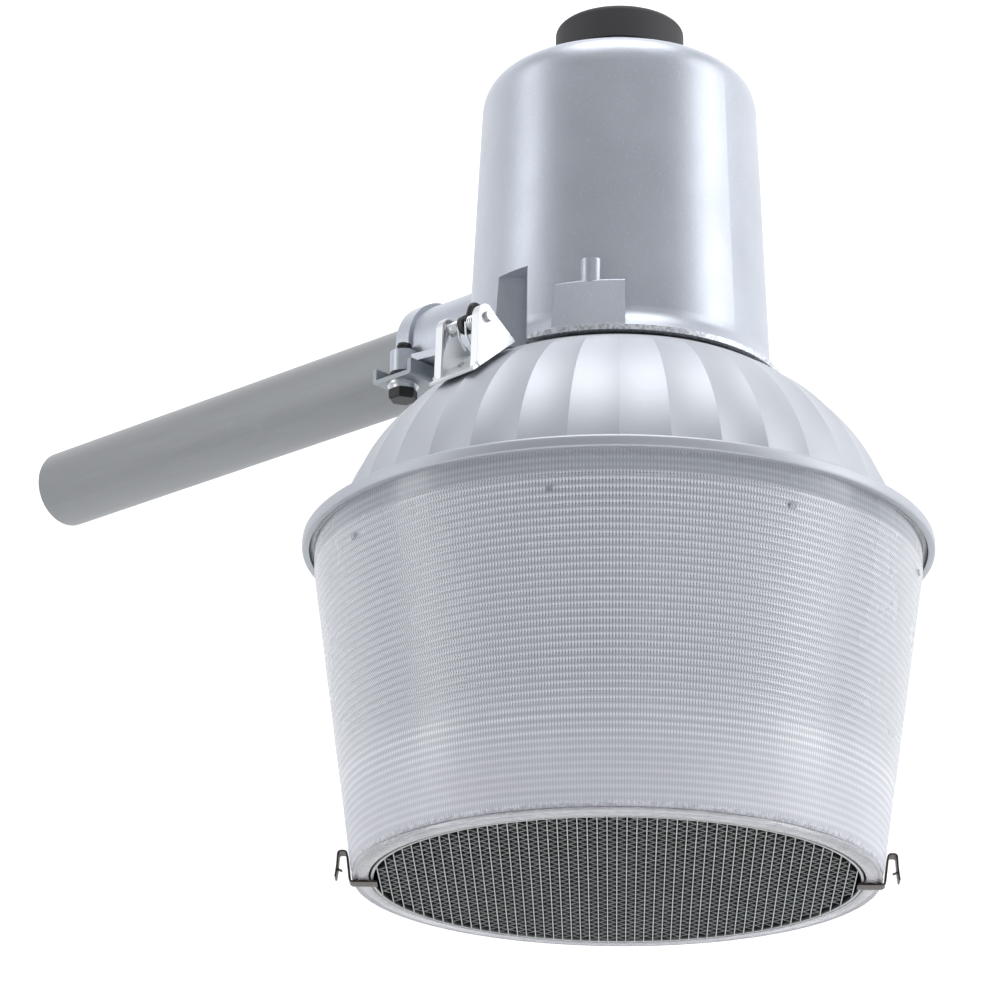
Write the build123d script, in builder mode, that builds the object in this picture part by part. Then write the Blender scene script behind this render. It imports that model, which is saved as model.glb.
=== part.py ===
"""Arm-mounted area luminaire: cast ballast housing on a pipe arm, fluted reflector,
prismatic refractor with a louver in its mouth, two spring latches and a photocontrol receptacle.

Frame: millimetres, +Z up, origin at the centre of the arm's free end. The arm runs along +X
to the lamp, whose vertical axis stands at x = ARM_REACH. Angles are about that axis from +X.
"""
from build123d import *
from math import cos, radians, sin, sqrt
import os

os.makedirs("parts", exist_ok=True)

# ---------------------------------------------------------------- driving dimensions
ARM_OD = 42.2                # 1 1/4 inch pipe
ARM_WALL = 3.6
ARM_REACH = 416.0            # free end of the arm to the lamp's axis
ARM_STOP = 82.0              # lamp's axis to the arm's inner end

ARM_ABOVE_LIP = 51.1         # arm's axis above the housing's bottom edge
HOUSING_RISE = 177.5         # bottom edge to the top of the collar
HOUSING_WALL = 3.5
LIP_RADIUS = 80.9
LIP_HEIGHT = 2.6
WALL_LOW_RADIUS = 74.4       # housing wall where the flare ends
WALL_LOW_HEIGHT = 15.0
WALL_TOP_RADIUS = 69.0       # housing wall under its shoulder
WALL_TOP_DROP = 29.5         # that shoulder below the top of the collar
SHOULDER_RADIUS = 57.0       # where the shoulder's curve meets the roof
SHOULDER_DROP = 12.7
SHOULDER_SLOPE = 0.22        # rise over run where the shoulder meets the roof
COLLAR_RADIUS = 30.3
COLLAR_HEIGHT = 10.4

DOME_SET = 2.0               # reflector's crest below the housing's bottom edge
DOME_RISE = 78.4             # rim plane to crest
DOME_BASE_RADIUS = 137.8
DOME_CREST_RADIUS = 79.6     # edge of the flat crest, where the dome's curve begins
DOME_CURVE_RADIUS = 112.1
LAMP_OPENING_RADIUS = 43.8
REFLECTOR_SHEET = 1.2
NECK_GASKET_WIDTH = 6.6

RIM_RADIUS = 152.6
RIM_BAND_HEIGHT = 5.0
RIM_BAND_THICKNESS = 3.4
RIM_RETURN_HEIGHT = 1.0

REFRACTOR_DROP = 167.5       # rim plane to the refractor's mouth
REFRACTOR_WALL = 3.0
MOUTH_RADIUS = 124.2
MOUTH_LIP_WIDTH = 7.8
MOUTH_LIP_THICKNESS = 2.5
BAND_BOTTOM_DROP = 17.5      # rim plane to the foot of the refractor's upright band
FLANGE_THICKNESS = 1.4
LUG_COUNT = 8
LUG_SIZE = 3.0
LUG_DROP = 24.5              # rim plane to the lugs' centre
LUG_FIRST_ANGLE = -60.6

LOUVER_HEIGHT = 9.0
LOUVER_RING_THICKNESS = 1.2
LOUVER_RECESS = 0.3
LOUVER_PITCH = 4.45
SLAT_THICKNESS = 0.5
SLAT_ANGLE = 41.6            # the slats' normal, from +X

CLIP_ANGLES = (41.6, -138.4)
CLIP_THICKNESS = 0.9
CLIP_WIDTH = 8.8
CLIP_LEG_HEIGHT = 14.0
CLIP_BEND_WIDTH = 4.0
CLIP_TAIL_HEIGHT = 12.5
CLIP_REACH = 3.0              # clip under the louver, inside its edge

LATCH_ANGLES = (-93.0, 87.0)
LATCH_PIVOT_RADIUS = 102.9
LATCH_PIVOT_HEIGHT = 4.9     # pivot above the housing's bottom edge
LATCH_EAR_GAP = 27.0
LATCH_SHEET = 1.5
LATCH_PIN_RADIUS = 1.6
LATCH_WIRE_RADIUS = 1.5
LATCH_SPRING_RADIUS = 3.6
LATCH_SPRING_LENGTH = 8.5
LATCH_LIFT = 1.5             # bracket's base above the dome's chord
KEEPER_WIDTH = 24.0
KEEPER_DEPTH = 11.0
KEEPER_HEIGHT = 42.0
KEEPER_BACKING = 4.5

PAD_ANGLE = -59.0
PAD_SPAN = 25.6
PAD_PROUD = 1.9
PAD_HEIGHT = 28.0
PAD_BOSS_RADIUS = 5.2
PAD_BOSS_HEIGHT = 11.5

NECK_RADIUS = 26.4
NECK_REACH = 127.0           # lamp's axis to the neck's mouth
NECK_CRADLE = 96.0           # lamp's axis to where the neck is open underneath
NECK_COLLAR_RADIUS = 28.6
NECK_COLLAR_LENGTH = 9.0
NECK_FLOOR_HEIGHT = -14.5    # foot of the neck's walls where it is open, from the arm's axis
BOLT_REACH = 118.5           # lamp's axis to the clamp bolts
BOLT_SPREAD = 31.0           # arm's axis to each bolt, sideways
BOLT_BOSS_RADIUS = 7.0
BOLT_BOSS_TOP = -7.5
BOLT_BOSS_BOTTOM = -19.0
WEB_THICKNESS = 4.0
BOLT_RADIUS = 4.0
BOLT_HEAD_FLATS = 13.0
BOLT_HEAD_HEIGHT = 5.5
BOLT_TIP = 5.0               # thread showing above the boss
WASHER_RADIUS = 8.0
WASHER_HEIGHT = 1.6
LOCK_WASHER_HEIGHT = 2.0
WIRE_HOLE_RADIUS = 9.0

SADDLE_WIDTH = 27.0
SADDLE_SHEET = 2.5
SADDLE_FLANGE = 6.0
SADDLE_HALF_LENGTH = 39.5
SADDLE_GAP = 0.9             # arm's underside to the saddle's web

RECEPTACLE_RADIUS = 32.45
RECEPTACLE_HEIGHT = 17.6
RECEPTACLE_EDGE = 3.0
RECEPTACLE_SPIGOT_RADIUS = 19.7
SLOT_CIRCLE_RADIUS = 11.3
SLOT_SPAN = 62.0
SLOT_WIDTH = 2.6
SLOT_DEPTH = 9.0
GASKET_THICKNESS = 1.5

PLATE_HEIGHT = 4.1           # underside of the gear plate above the housing's bottom edge
PLATE_SHEET = 1.2
PLATE_RADIUS = 69.0
POST_CIRCLE_RADIUS = 65.5
POST_RADIUS = 6.5
POST_HEIGHT = 26.0
POST_ANGLES = (-30.0, 135.0, -150.0)

HOLDER_RADIUS = 26.0
HOLDER_HEIGHT = 66.0
HOLDER_SKIRT = 3.0           # lampholder below the gear plate
HOLDER_EAR_SPAN = 35.0
LAMP_SHELL_RADIUS = 19.4
SHELL_THICKNESS = 0.6
LAMP_LENGTH = 197.0
LAMP_BASE_LENGTH = 42.0
BULB_RADIUS = 37.4
BULB_GLASS = 1.0
ARC_TUBE_RADIUS = 4.5
ARC_TUBE_LENGTH = 62.0

CORE_LENGTH = 84.0
CORE_DEPTH = 46.0
CORE_HEIGHT = 66.0
CORE_LEG = 28.0
CORE_WINDOW = 14.0
CORE_WINDOW_HEIGHT = 40.0
CORE_TOP_DROP = 27.0         # top of the core below the housing's top
CORE_BOLT_RADIUS = 2.5
HANGER_SHEET = 2.0
HANGER_HOLE_SPREAD = 50.0
CAPACITOR_RADIUS = 18.5
CAPACITOR_HEIGHT = 60.0
CAPACITOR_REACH = 47.5
TERMINAL_COUNT = 3
TERMINAL_PITCH = 12.0

FIT = 0.05                   # radial clearance of a running fit
CLEAR = 0.3                  # gap between pieces that move past each other
SLACK = 0.5                  # gap round a piece that drops in

# ---------------------------------------------------------------- heights and radii that follow
lip_z = -ARM_ABOVE_LIP
top_z = lip_z + HOUSING_RISE
crest_z = lip_z - DOME_SET
rim_z = crest_z - DOME_RISE
mouth_z = rim_z - REFRACTOR_DROP
plate_z = lip_z + PLATE_HEIGHT
arm_radius = ARM_OD / 2
arm_bore_radius = arm_radius - ARM_WALL
band_bottom_z = rim_z - REFLECTOR_SHEET - RIM_BAND_HEIGHT
band_inner_radius = RIM_RADIUS - RIM_BAND_THICKNESS
flange_radius = band_inner_radius - CLEAR
band_radius = flange_radius - 2.5
return_radius = band_radius + SLACK
flange_z = band_bottom_z + RIM_RETURN_HEIGHT + CLEAR
mouth_inner_radius = MOUTH_RADIUS - MOUTH_LIP_WIDTH
louver_radius = mouth_inner_radius - SLACK - 0.5
louver_z = mouth_z + LOUVER_RECESS
dome_run = DOME_BASE_RADIUS - DOME_CREST_RADIUS
dome_chord = sqrt(dome_run ** 2 + DOME_RISE ** 2)
dome_sag_reach = sqrt(DOME_CURVE_RADIUS ** 2 - (dome_chord / 2) ** 2)
dome_centre_radius = (DOME_CREST_RADIUS + DOME_BASE_RADIUS) / 2 - dome_sag_reach * DOME_RISE / dome_chord
dome_centre_z = crest_z - DOME_RISE / 2 - dome_sag_reach * dome_run / dome_chord
latch_z = lip_z + LATCH_PIVOT_HEIGHT
bolt_x = ARM_REACH - BOLT_REACH
lamp_axis = Axis((ARM_REACH, 0, 0), (0, 0, 1))


def dome_z(radius):
    """Height of the reflector's outer face at a radius."""
    return dome_centre_z + sqrt(DOME_CURVE_RADIUS ** 2 - (radius - dome_centre_radius) ** 2)


def dome_inside_radius(z):
    """Radius of the reflector's inner face at a height."""
    return dome_centre_radius + sqrt((DOME_CURVE_RADIUS - REFLECTOR_SHEET) ** 2 - (z - dome_centre_z) ** 2)


def wall_radius(height):
    """Radius of the refractor's outer face at a height above its mouth."""
    rise = REFRACTOR_DROP - BAND_BOTTOM_DROP
    return MOUTH_RADIUS + (band_radius - MOUTH_RADIUS) * height / rise


def section(angle=0.0, offset=0.0):
    """Upright plane through the lamp's axis: local X is the radius and local Y is the height."""
    out = (cos(radians(angle)), sin(radians(angle)), 0)
    normal = (sin(radians(angle)), -cos(radians(angle)), 0)
    origin = (ARM_REACH + normal[0] * offset, normal[1] * offset, 0)
    return Plane(origin=origin, x_dir=out, z_dir=normal)


def level(z, angle=0.0):
    """Level plane centred on the lamp's axis, with local X along an angle."""
    return Plane(origin=(ARM_REACH, 0, z), x_dir=(cos(radians(angle)), sin(radians(angle)), 0), z_dir=(0, 0, 1))


def save(piece, name):
    """Label a finished piece and write its file."""
    piece.part.label = name
    export_step(piece.part, f"parts/{name}.step")


def turned(points, name, angle=0.0):
    """A plain ring or disc turned from a closed outline of (radius, z) points."""
    with BuildPart() as piece:
        with BuildSketch(section(angle)):
            with BuildLine():
                Polyline(*points, close=True)
            make_face()
        revolve(axis=lamp_axis)
    save(piece, name)
    return piece


# ---------------------------------------------------------------- arm
with BuildPart() as arm_tube:
    with BuildSketch(Plane.YZ):
        Circle(arm_radius)
        Circle(arm_bore_radius, mode=Mode.SUBTRACT)
    extrude(amount=ARM_REACH - ARM_STOP)
save(arm_tube, "arm_tube")

# ---------------------------------------------------------------- housing casting
roof_z = top_z - COLLAR_HEIGHT


def housing_outline(inset, bottom):
    """Half section of the casting, moved in by a wall thickness and open down to a height."""
    low = (WALL_LOW_RADIUS - inset, lip_z + WALL_LOW_HEIGHT)
    high = (WALL_TOP_RADIUS - inset, top_z - WALL_TOP_DROP)
    shoulder = (SHOULDER_RADIUS - inset, top_z - SHOULDER_DROP - inset)
    lip = (LIP_RADIUS - inset, lip_z + LIP_HEIGHT)
    with BuildLine() as outline:
        Line((0, bottom), (lip[0], bottom))
        Line((lip[0], bottom), lip)
        Spline(lip, low, tangents=((-0.5, 0.5), (high[0] - low[0], high[1] - low[1])))
        Line(low, high)
        Spline(high, shoulder, tangents=((high[0] - low[0], high[1] - low[1]), (-1, SHOULDER_SLOPE)))
        Spline(shoulder, (0, roof_z - inset), tangents=((-1, SHOULDER_SLOPE), (-1, 0)))
        Line((0, roof_z - inset), (0, bottom))
    return outline


def keeper_prism(spread):
    """V-shaped cut for a latch nose, as a closed outline of (radius, sideways) points."""
    depth_radius = WALL_LOW_RADIUS - KEEPER_DEPTH - spread
    mouth = LIP_RADIUS + 4.0
    half = (KEEPER_WIDTH / 2) * (mouth - depth_radius) / KEEPER_DEPTH
    return [(depth_radius, 0), (mouth, half), (mouth, -half)]


with BuildPart() as housing:
    with BuildSketch(section()):
        add(housing_outline(0, lip_z))
        make_face()
    revolve(axis=lamp_axis)
    with BuildSketch(level(roof_z - HOUSING_WALL)):
        Circle(COLLAR_RADIUS)
    extrude(amount=COLLAR_HEIGHT + HOUSING_WALL)
    # neck, its mouth collar and the bolt bosses with their webs
    with BuildSketch(Plane.YZ.offset(ARM_REACH - NECK_REACH)):
        Circle(NECK_RADIUS)
    extrude(amount=NECK_REACH - WALL_TOP_RADIUS)
    with BuildSketch(Plane.YZ.offset(ARM_REACH - NECK_REACH)):
        Circle(NECK_COLLAR_RADIUS)
    extrude(amount=NECK_COLLAR_LENGTH)
    with BuildSketch(Plane.XY.offset(NECK_FLOOR_HEIGHT)):
        with Locations((ARM_REACH - (NECK_REACH + NECK_CRADLE) / 2 - 1, 0)):
            Rectangle(NECK_REACH - NECK_CRADLE + 2, 2 * NECK_COLLAR_RADIUS + 2)
    extrude(amount=-NECK_COLLAR_RADIUS, mode=Mode.SUBTRACT)
    with BuildSketch(Plane.XY.offset(BOLT_BOSS_BOTTOM)):
        with Locations((bolt_x, BOLT_SPREAD), (bolt_x, -BOLT_SPREAD)):
            Circle(BOLT_BOSS_RADIUS)
    extrude(amount=BOLT_BOSS_TOP - BOLT_BOSS_BOTTOM)
    with BuildSketch(Plane.XY.offset(NECK_FLOOR_HEIGHT)):
        with Locations((bolt_x, 0)):
            Rectangle(BOLT_BOSS_RADIUS * 1.6, 2 * BOLT_SPREAD)
        for side in (1, -1):
            with BuildLine():
                Polyline((bolt_x, side * (BOLT_SPREAD + 3.0)), (ARM_REACH - WALL_TOP_RADIUS, side * NECK_RADIUS),
                         (ARM_REACH - WALL_TOP_RADIUS, side * (NECK_RADIUS - 8.0)),
                         (bolt_x, side * (NECK_RADIUS - 8.0)), close=True)
            make_face()
    extrude(amount=WEB_THICKNESS)
    # raised pad with its half-round boss
    with BuildSketch(section(PAD_ANGLE - PAD_SPAN / 2)):
        pad_low = lip_z + LIP_HEIGHT
        with BuildLine():
            Polyline((WALL_TOP_RADIUS - 2, pad_low), (LIP_RADIUS, pad_low),
                     (WALL_LOW_RADIUS + PAD_PROUD, lip_z + PAD_HEIGHT - 1.0),
                     (WALL_LOW_RADIUS + PAD_PROUD - 1.0, lip_z + PAD_HEIGHT),
                     (WALL_TOP_RADIUS - 2, lip_z + PAD_HEIGHT), close=True)
        make_face()
    revolve(axis=lamp_axis, revolution_arc=PAD_SPAN)
    with BuildSketch(level(lip_z + PAD_HEIGHT - 2, PAD_ANGLE)):
        with Locations((WALL_LOW_RADIUS - 3.2, 0)):
            Circle(PAD_BOSS_RADIUS)
    extrude(amount=PAD_BOSS_HEIGHT + 2)
    # hollow inside
    with BuildSketch(section()):
        add(housing_outline(HOUSING_WALL, lip_z - 1))
        make_face()
    revolve(axis=lamp_axis, mode=Mode.SUBTRACT)
    # posts under the gear plate, hanger posts under the roof, backing of the latch keepers
    for angle in POST_ANGLES:
        with BuildSketch(level(plate_z + PLATE_SHEET, angle)):
            with Locations((POST_CIRCLE_RADIUS, 0)):
                Circle(POST_RADIUS)
        extrude(amount=POST_HEIGHT)
    hanger_z = top_z - CORE_TOP_DROP + HANGER_SHEET
    with BuildSketch(level(hanger_z)):
        with Locations((HANGER_HOLE_SPREAD, 0), (-HANGER_HOLE_SPREAD, 0)):
            Circle(5.5)
    extrude(until=Until.NEXT)
    for angle in LATCH_ANGLES:
        with BuildSketch(level(plate_z + PLATE_SHEET + CLEAR, angle)):
            with Locations(((WALL_LOW_RADIUS - KEEPER_DEPTH - KEEPER_BACKING + WALL_TOP_RADIUS + 1.5) / 2, 0)):
                Rectangle(WALL_TOP_RADIUS + 1.5 - WALL_LOW_RADIUS + KEEPER_DEPTH + KEEPER_BACKING, KEEPER_WIDTH + 6)
        extrude(amount=KEEPER_HEIGHT + KEEPER_BACKING - PLATE_HEIGHT)
    for angle in LATCH_ANGLES:
        with BuildSketch(level(lip_z - 1, angle)):
            with BuildLine():
                Polyline(*keeper_prism(0), close=True)
            make_face()
        extrude(amount=KEEPER_HEIGHT + 1, mode=Mode.SUBTRACT)
    # arm socket, open underneath for the saddle, and the wire hole behind its stop
    with BuildSketch(Plane.YZ.offset(ARM_REACH - NECK_REACH - 1)):
        Circle(arm_radius + CLEAR)
    extrude(amount=NECK_REACH + 1 - ARM_STOP + CLEAR, mode=Mode.SUBTRACT)
    with BuildSketch(Plane.YZ.offset(ARM_REACH - ARM_STOP - 1)):
        Circle(WIRE_HOLE_RADIUS)
    extrude(amount=ARM_STOP - WALL_TOP_RADIUS + 2 * HOUSING_WALL + 6, mode=Mode.SUBTRACT)
    with BuildSketch(Plane.XY.offset(BOLT_BOSS_BOTTOM - 1)):
        with Locations((bolt_x, BOLT_SPREAD), (bolt_x, -BOLT_SPREAD)):
            Circle(BOLT_RADIUS + FIT)
    extrude(amount=BOLT_BOSS_TOP + BOLT_TIP - BOLT_BOSS_BOTTOM + 2, mode=Mode.SUBTRACT)
    # screw holes and the receptacle's opening
    for angle in POST_ANGLES:
        with BuildSketch(level(plate_z, angle)):
            with Locations((POST_CIRCLE_RADIUS, 0)):
                Circle(2.0)
        extrude(amount=14, mode=Mode.SUBTRACT)
    with BuildSketch(level(hanger_z - 1)):
        with Locations((HANGER_HOLE_SPREAD, 0), (-HANGER_HOLE_SPREAD, 0)):
            Circle(2.5)
    extrude(amount=9, mode=Mode.SUBTRACT)
    with BuildSketch(level(roof_z - HOUSING_WALL - 2)):
        Circle(RECEPTACLE_SPIGOT_RADIUS + CLEAR)
    extrude(amount=COLLAR_HEIGHT + HOUSING_WALL + 4, mode=Mode.SUBTRACT)
save(housing, "housing")

# ---------------------------------------------------------------- arm clamp
web_top_z = -arm_radius - SADDLE_GAP
with BuildPart() as clamp_saddle:
    with BuildSketch(Plane.XZ.offset(-SADDLE_HALF_LENGTH)):
        half = SADDLE_WIDTH / 2
        with BuildLine():
            Polyline((bolt_x - half, web_top_z + SADDLE_FLANGE), (bolt_x - half, web_top_z - SADDLE_SHEET),
                     (bolt_x + half, web_top_z - SADDLE_SHEET), (bolt_x + half, web_top_z + SADDLE_FLANGE),
                     (bolt_x + half - SADDLE_SHEET, web_top_z + SADDLE_FLANGE),
                     (bolt_x + half - SADDLE_SHEET, web_top_z), (bolt_x - half + SADDLE_SHEET, web_top_z),
                     (bolt_x - half + SADDLE_SHEET, web_top_z + SADDLE_FLANGE), close=True)
        make_face()
    extrude(amount=2 * SADDLE_HALF_LENGTH)
    fillet(clamp_saddle.edges().filter_by(Axis.Y).group_by(Axis.Z)[0], SADDLE_SHEET * 0.9)
    with BuildSketch(Plane.YZ.offset(bolt_x - SADDLE_WIDTH)):
        Circle(arm_radius + CLEAR)
    extrude(amount=2 * SADDLE_WIDTH, mode=Mode.SUBTRACT)
    with BuildSketch(Plane.XY.offset(web_top_z - SADDLE_SHEET - 1)):
        with Locations((bolt_x, BOLT_SPREAD), (bolt_x, -BOLT_SPREAD)):
            Circle(BOLT_RADIUS + SLACK)
    extrude(amount=SADDLE_SHEET + 2, mode=Mode.SUBTRACT)
save(clamp_saddle, "clamp_saddle")

washer_z = web_top_z - SADDLE_SHEET - WASHER_HEIGHT
head_z = washer_z - LOCK_WASHER_HEIGHT
with BuildPart() as clamp_washers:
    with BuildSketch(Plane.XY.offset(washer_z)):
        with Locations((bolt_x, BOLT_SPREAD), (bolt_x, -BOLT_SPREAD)):
            Circle(WASHER_RADIUS)
            Circle(BOLT_RADIUS + 0.4, mode=Mode.SUBTRACT)
    extrude(amount=WASHER_HEIGHT)
save(clamp_washers, "clamp_washers")

with BuildPart() as clamp_lock_washers:
    with BuildSketch(Plane.XY.offset(head_z)):
        with Locations((bolt_x, BOLT_SPREAD), (bolt_x, -BOLT_SPREAD)):
            Circle(BOLT_RADIUS + 2.6)
            Circle(BOLT_RADIUS + 0.3, mode=Mode.SUBTRACT)
            with Locations((BOLT_RADIUS + 1.5, 0)):
                Rectangle(4, 0.8, rotation=25, mode=Mode.SUBTRACT)
    extrude(amount=LOCK_WASHER_HEIGHT)
save(clamp_lock_washers, "clamp_lock_washers")

with BuildPart() as clamp_bolts:
    with BuildSketch(Plane.XY.offset(head_z)):
        with Locations((bolt_x, BOLT_SPREAD), (bolt_x, -BOLT_SPREAD)):
            RegularPolygon(BOLT_HEAD_FLATS / 2, 6, major_radius=False)
    extrude(amount=-BOLT_HEAD_HEIGHT)
    chamfer(clamp_bolts.edges().group_by(Axis.Z)[0], 0.8)
    with BuildSketch(Plane.XY.offset(head_z - 1)):
        with Locations((bolt_x, BOLT_SPREAD), (bolt_x, -BOLT_SPREAD)):
            Circle(BOLT_RADIUS)
    extrude(amount=BOLT_BOSS_TOP + BOLT_TIP - head_z + 1)
    chamfer(clamp_bolts.edges().group_by(Axis.Z)[-1], 0.7)
save(clamp_bolts, "clamp_bolts")

# ---------------------------------------------------------------- photocontrol receptacle
receptacle_z = top_z + GASKET_THICKNESS + CLEAR
turned([(RECEPTACLE_SPIGOT_RADIUS + 1.5, top_z), (COLLAR_RADIUS + 0.5, top_z),
        (COLLAR_RADIUS + 0.5, top_z + GASKET_THICKNESS),
        (RECEPTACLE_SPIGOT_RADIUS + 1.5, top_z + GASKET_THICKNESS)], "receptacle_gasket")

clamp_plate_z = roof_z - HOUSING_WALL - 3.0
slot_arc = CenterArc((0, 0), SLOT_CIRCLE_RADIUS, -SLOT_SPAN / 2, SLOT_SPAN)
contact_arc = CenterArc((0, 0), SLOT_CIRCLE_RADIUS, -SLOT_SPAN / 2 + 4, SLOT_SPAN - 8)
spigot_z = clamp_plate_z + 1.6
with BuildPart() as receptacle:
    with BuildSketch(level(receptacle_z)):
        Circle(RECEPTACLE_RADIUS)
    extrude(amount=RECEPTACLE_HEIGHT)
    fillet(receptacle.edges().group_by(Axis.Z)[-1], RECEPTACLE_EDGE)
    with BuildSketch(level(spigot_z)):
        Circle(RECEPTACLE_SPIGOT_RADIUS)
    extrude(amount=receptacle_z - spigot_z + 1)
    for turn in (90, 210, 330):
        with BuildSketch(level(receptacle_z + RECEPTACLE_HEIGHT, turn)):
            SlotArc(slot_arc, SLOT_WIDTH)
        extrude(amount=-SLOT_DEPTH, mode=Mode.SUBTRACT)
    with BuildSketch(level(spigot_z)):
        with Locations((15, 0), (-15, 0)):
            Circle(2.0)
    extrude(amount=10, mode=Mode.SUBTRACT)
save(receptacle, "receptacle")

with BuildPart() as receptacle_contacts:
    for turn in (90, 210, 330):
        with BuildSketch(level(receptacle_z + RECEPTACLE_HEIGHT - SLOT_DEPTH, turn)):
            SlotArc(contact_arc, SLOT_WIDTH - 1.2)
        extrude(amount=SLOT_DEPTH - 3)
save(receptacle_contacts, "receptacle_contacts")

with BuildPart() as receptacle_plate:
    with BuildSketch(level(clamp_plate_z)):
        Circle(RECEPTACLE_SPIGOT_RADIUS + 6)
        with Locations((15, 0), (-15, 0)):
            Circle(2.3, mode=Mode.SUBTRACT)
    extrude(amount=1.6)
save(receptacle_plate, "receptacle_plate")

with BuildPart() as receptacle_screws:
    with BuildSketch(level(clamp_plate_z)):
        with Locations((15, 0), (-15, 0)):
            Circle(3.6)
    extrude(amount=-2.2)
    with BuildSketch(level(clamp_plate_z - 0.5)):
        with Locations((15, 0), (-15, 0)):
            Circle(2.0 - FIT)
    extrude(amount=9.5)
save(receptacle_screws, "receptacle_screws")

# ---------------------------------------------------------------- gear plate and lampholder
holder_bottom_z = plate_z - HOLDER_SKIRT
holder_top_z = holder_bottom_z + HOLDER_HEIGHT
plate_top_z = plate_z + PLATE_SHEET
with BuildPart() as gear_plate:
    with BuildSketch(level(plate_z)):
        Circle(PLATE_RADIUS)
        Circle(HOLDER_RADIUS + SLACK, mode=Mode.SUBTRACT)
        with Locations((0, HOLDER_EAR_SPAN), (0, -HOLDER_EAR_SPAN)):
            Circle(2.0, mode=Mode.SUBTRACT)
        for angle in POST_ANGLES:
            with Locations((POST_CIRCLE_RADIUS * cos(radians(angle)), POST_CIRCLE_RADIUS * sin(radians(angle)))):
                Circle(2.3, mode=Mode.SUBTRACT)
    extrude(amount=PLATE_SHEET)
    for angle in LATCH_ANGLES:
        with BuildSketch(level(plate_z - 1, angle)):
            with BuildLine():
                Polyline(*keeper_prism(2.0), close=True)
            make_face()
        extrude(amount=PLATE_SHEET + 2, mode=Mode.SUBTRACT)
save(gear_plate, "gear_plate")

with BuildPart() as gear_plate_screws:
    for angle in POST_ANGLES:
        with BuildSketch(level(plate_z, angle)):
            with Locations((POST_CIRCLE_RADIUS, 0)):
                Circle(3.8)
        extrude(amount=-2.4)
        with BuildSketch(level(plate_z - 0.5, angle)):
            with Locations((POST_CIRCLE_RADIUS, 0)):
                Circle(2.0 - FIT)
        extrude(amount=12)
save(gear_plate_screws, "gear_plate_screws")

shell_outer = LAMP_SHELL_RADIUS + FIT + SHELL_THICKNESS
with BuildPart() as lampholder:
    with BuildSketch(level(holder_bottom_z)):
        Circle(HOLDER_RADIUS)
    extrude(amount=HOLDER_HEIGHT)
    fillet(lampholder.edges().group_by(Axis.Z)[-1], 4.0)
    with BuildSketch(level(plate_top_z)):
        with Locations((0, HOLDER_EAR_SPAN / 2 + 6), (0, -HOLDER_EAR_SPAN / 2 - 6)):
            Rectangle(14, HOLDER_EAR_SPAN)
    extrude(amount=8)
    with BuildSketch(level(plate_top_z)):
        with Locations((0, HOLDER_EAR_SPAN), (0, -HOLDER_EAR_SPAN)):
            Circle(2.2)
    extrude(amount=8, mode=Mode.SUBTRACT)
    with BuildSketch(level(holder_bottom_z)):
        Circle(shell_outer + 0.2)
    extrude(amount=HOLDER_HEIGHT - 12, mode=Mode.SUBTRACT)
save(lampholder, "lampholder")

shell_top_z = holder_top_z - 14
turned([(LAMP_SHELL_RADIUS + FIT, holder_bottom_z + 6), (shell_outer, holder_bottom_z + 6),
        (shell_outer, shell_top_z), (LAMP_SHELL_RADIUS + FIT, shell_top_z)], "lampholder_shell")

with BuildPart() as lampholder_contact:
    with BuildSketch(level(holder_top_z - 13)):
        Circle(5.0)
    extrude(amount=1.0)
save(lampholder_contact, "lampholder_contact")

with BuildPart() as lampholder_screws:
    with BuildSketch(level(plate_z)):
        with Locations((0, HOLDER_EAR_SPAN), (0, -HOLDER_EAR_SPAN)):
            Circle(3.4)
    extrude(amount=-1.8)
    with BuildSketch(level(plate_z - 0.5)):
        with Locations((0, HOLDER_EAR_SPAN), (0, -HOLDER_EAR_SPAN)):
            Circle(2.0 - FIT)
    extrude(amount=11)
save(lampholder_screws, "lampholder_screws")

# ---------------------------------------------------------------- lamp
lamp_top_z = holder_top_z - 13.2
lamp_bottom_z = lamp_top_z - LAMP_LENGTH
base_bottom_z = lamp_top_z - LAMP_BASE_LENGTH
with BuildPart() as lamp_base:
    with BuildSketch(level(base_bottom_z)):
        Circle(LAMP_SHELL_RADIUS)
    extrude(amount=LAMP_BASE_LENGTH - 9)
    with BuildSketch(level(lamp_top_z - 9)):
        Circle(LAMP_SHELL_RADIUS)
    extrude(amount=6, taper=45)
    with BuildSketch(level(lamp_top_z - 5)):
        Circle(5.5)
    extrude(amount=5)
    with BuildSketch(level(base_bottom_z)):
        Circle(LAMP_SHELL_RADIUS - 1.0)
    extrude(amount=LAMP_BASE_LENGTH - 10, mode=Mode.SUBTRACT)
save(lamp_base, "lamp_base")


def bulb_outline(inset):
    """Half section of the lamp's glass, neck up."""
    belly_z = lamp_bottom_z + 82
    neck_z = base_bottom_z + 8
    neck = LAMP_SHELL_RADIUS - 1.6 - inset
    with BuildLine() as outline:
        Line((0, neck_z - inset), (neck, neck_z - inset))
        Line((neck, neck_z - inset), (neck, base_bottom_z - 10))
        Spline((neck, base_bottom_z - 10), (BULB_RADIUS - inset, belly_z), tangents=((0, -1), (0, -1)))
        Spline((BULB_RADIUS - inset, belly_z), (18 - inset, lamp_bottom_z + 14), tangents=((0, -1), (-0.25, -1)))
        Spline((18 - inset, lamp_bottom_z + 14), (0, lamp_bottom_z + inset), tangents=((-0.25, -1), (-1, 0)))
        Line((0, lamp_bottom_z + inset), (0, neck_z - inset))
    return outline


with BuildPart() as lamp_bulb:
    with BuildSketch(section()):
        add(bulb_outline(0))
        make_face()
        add(bulb_outline(BULB_GLASS))
        make_face(mode=Mode.SUBTRACT)
    revolve(axis=lamp_axis)
save(lamp_bulb, "lamp_bulb")

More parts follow.
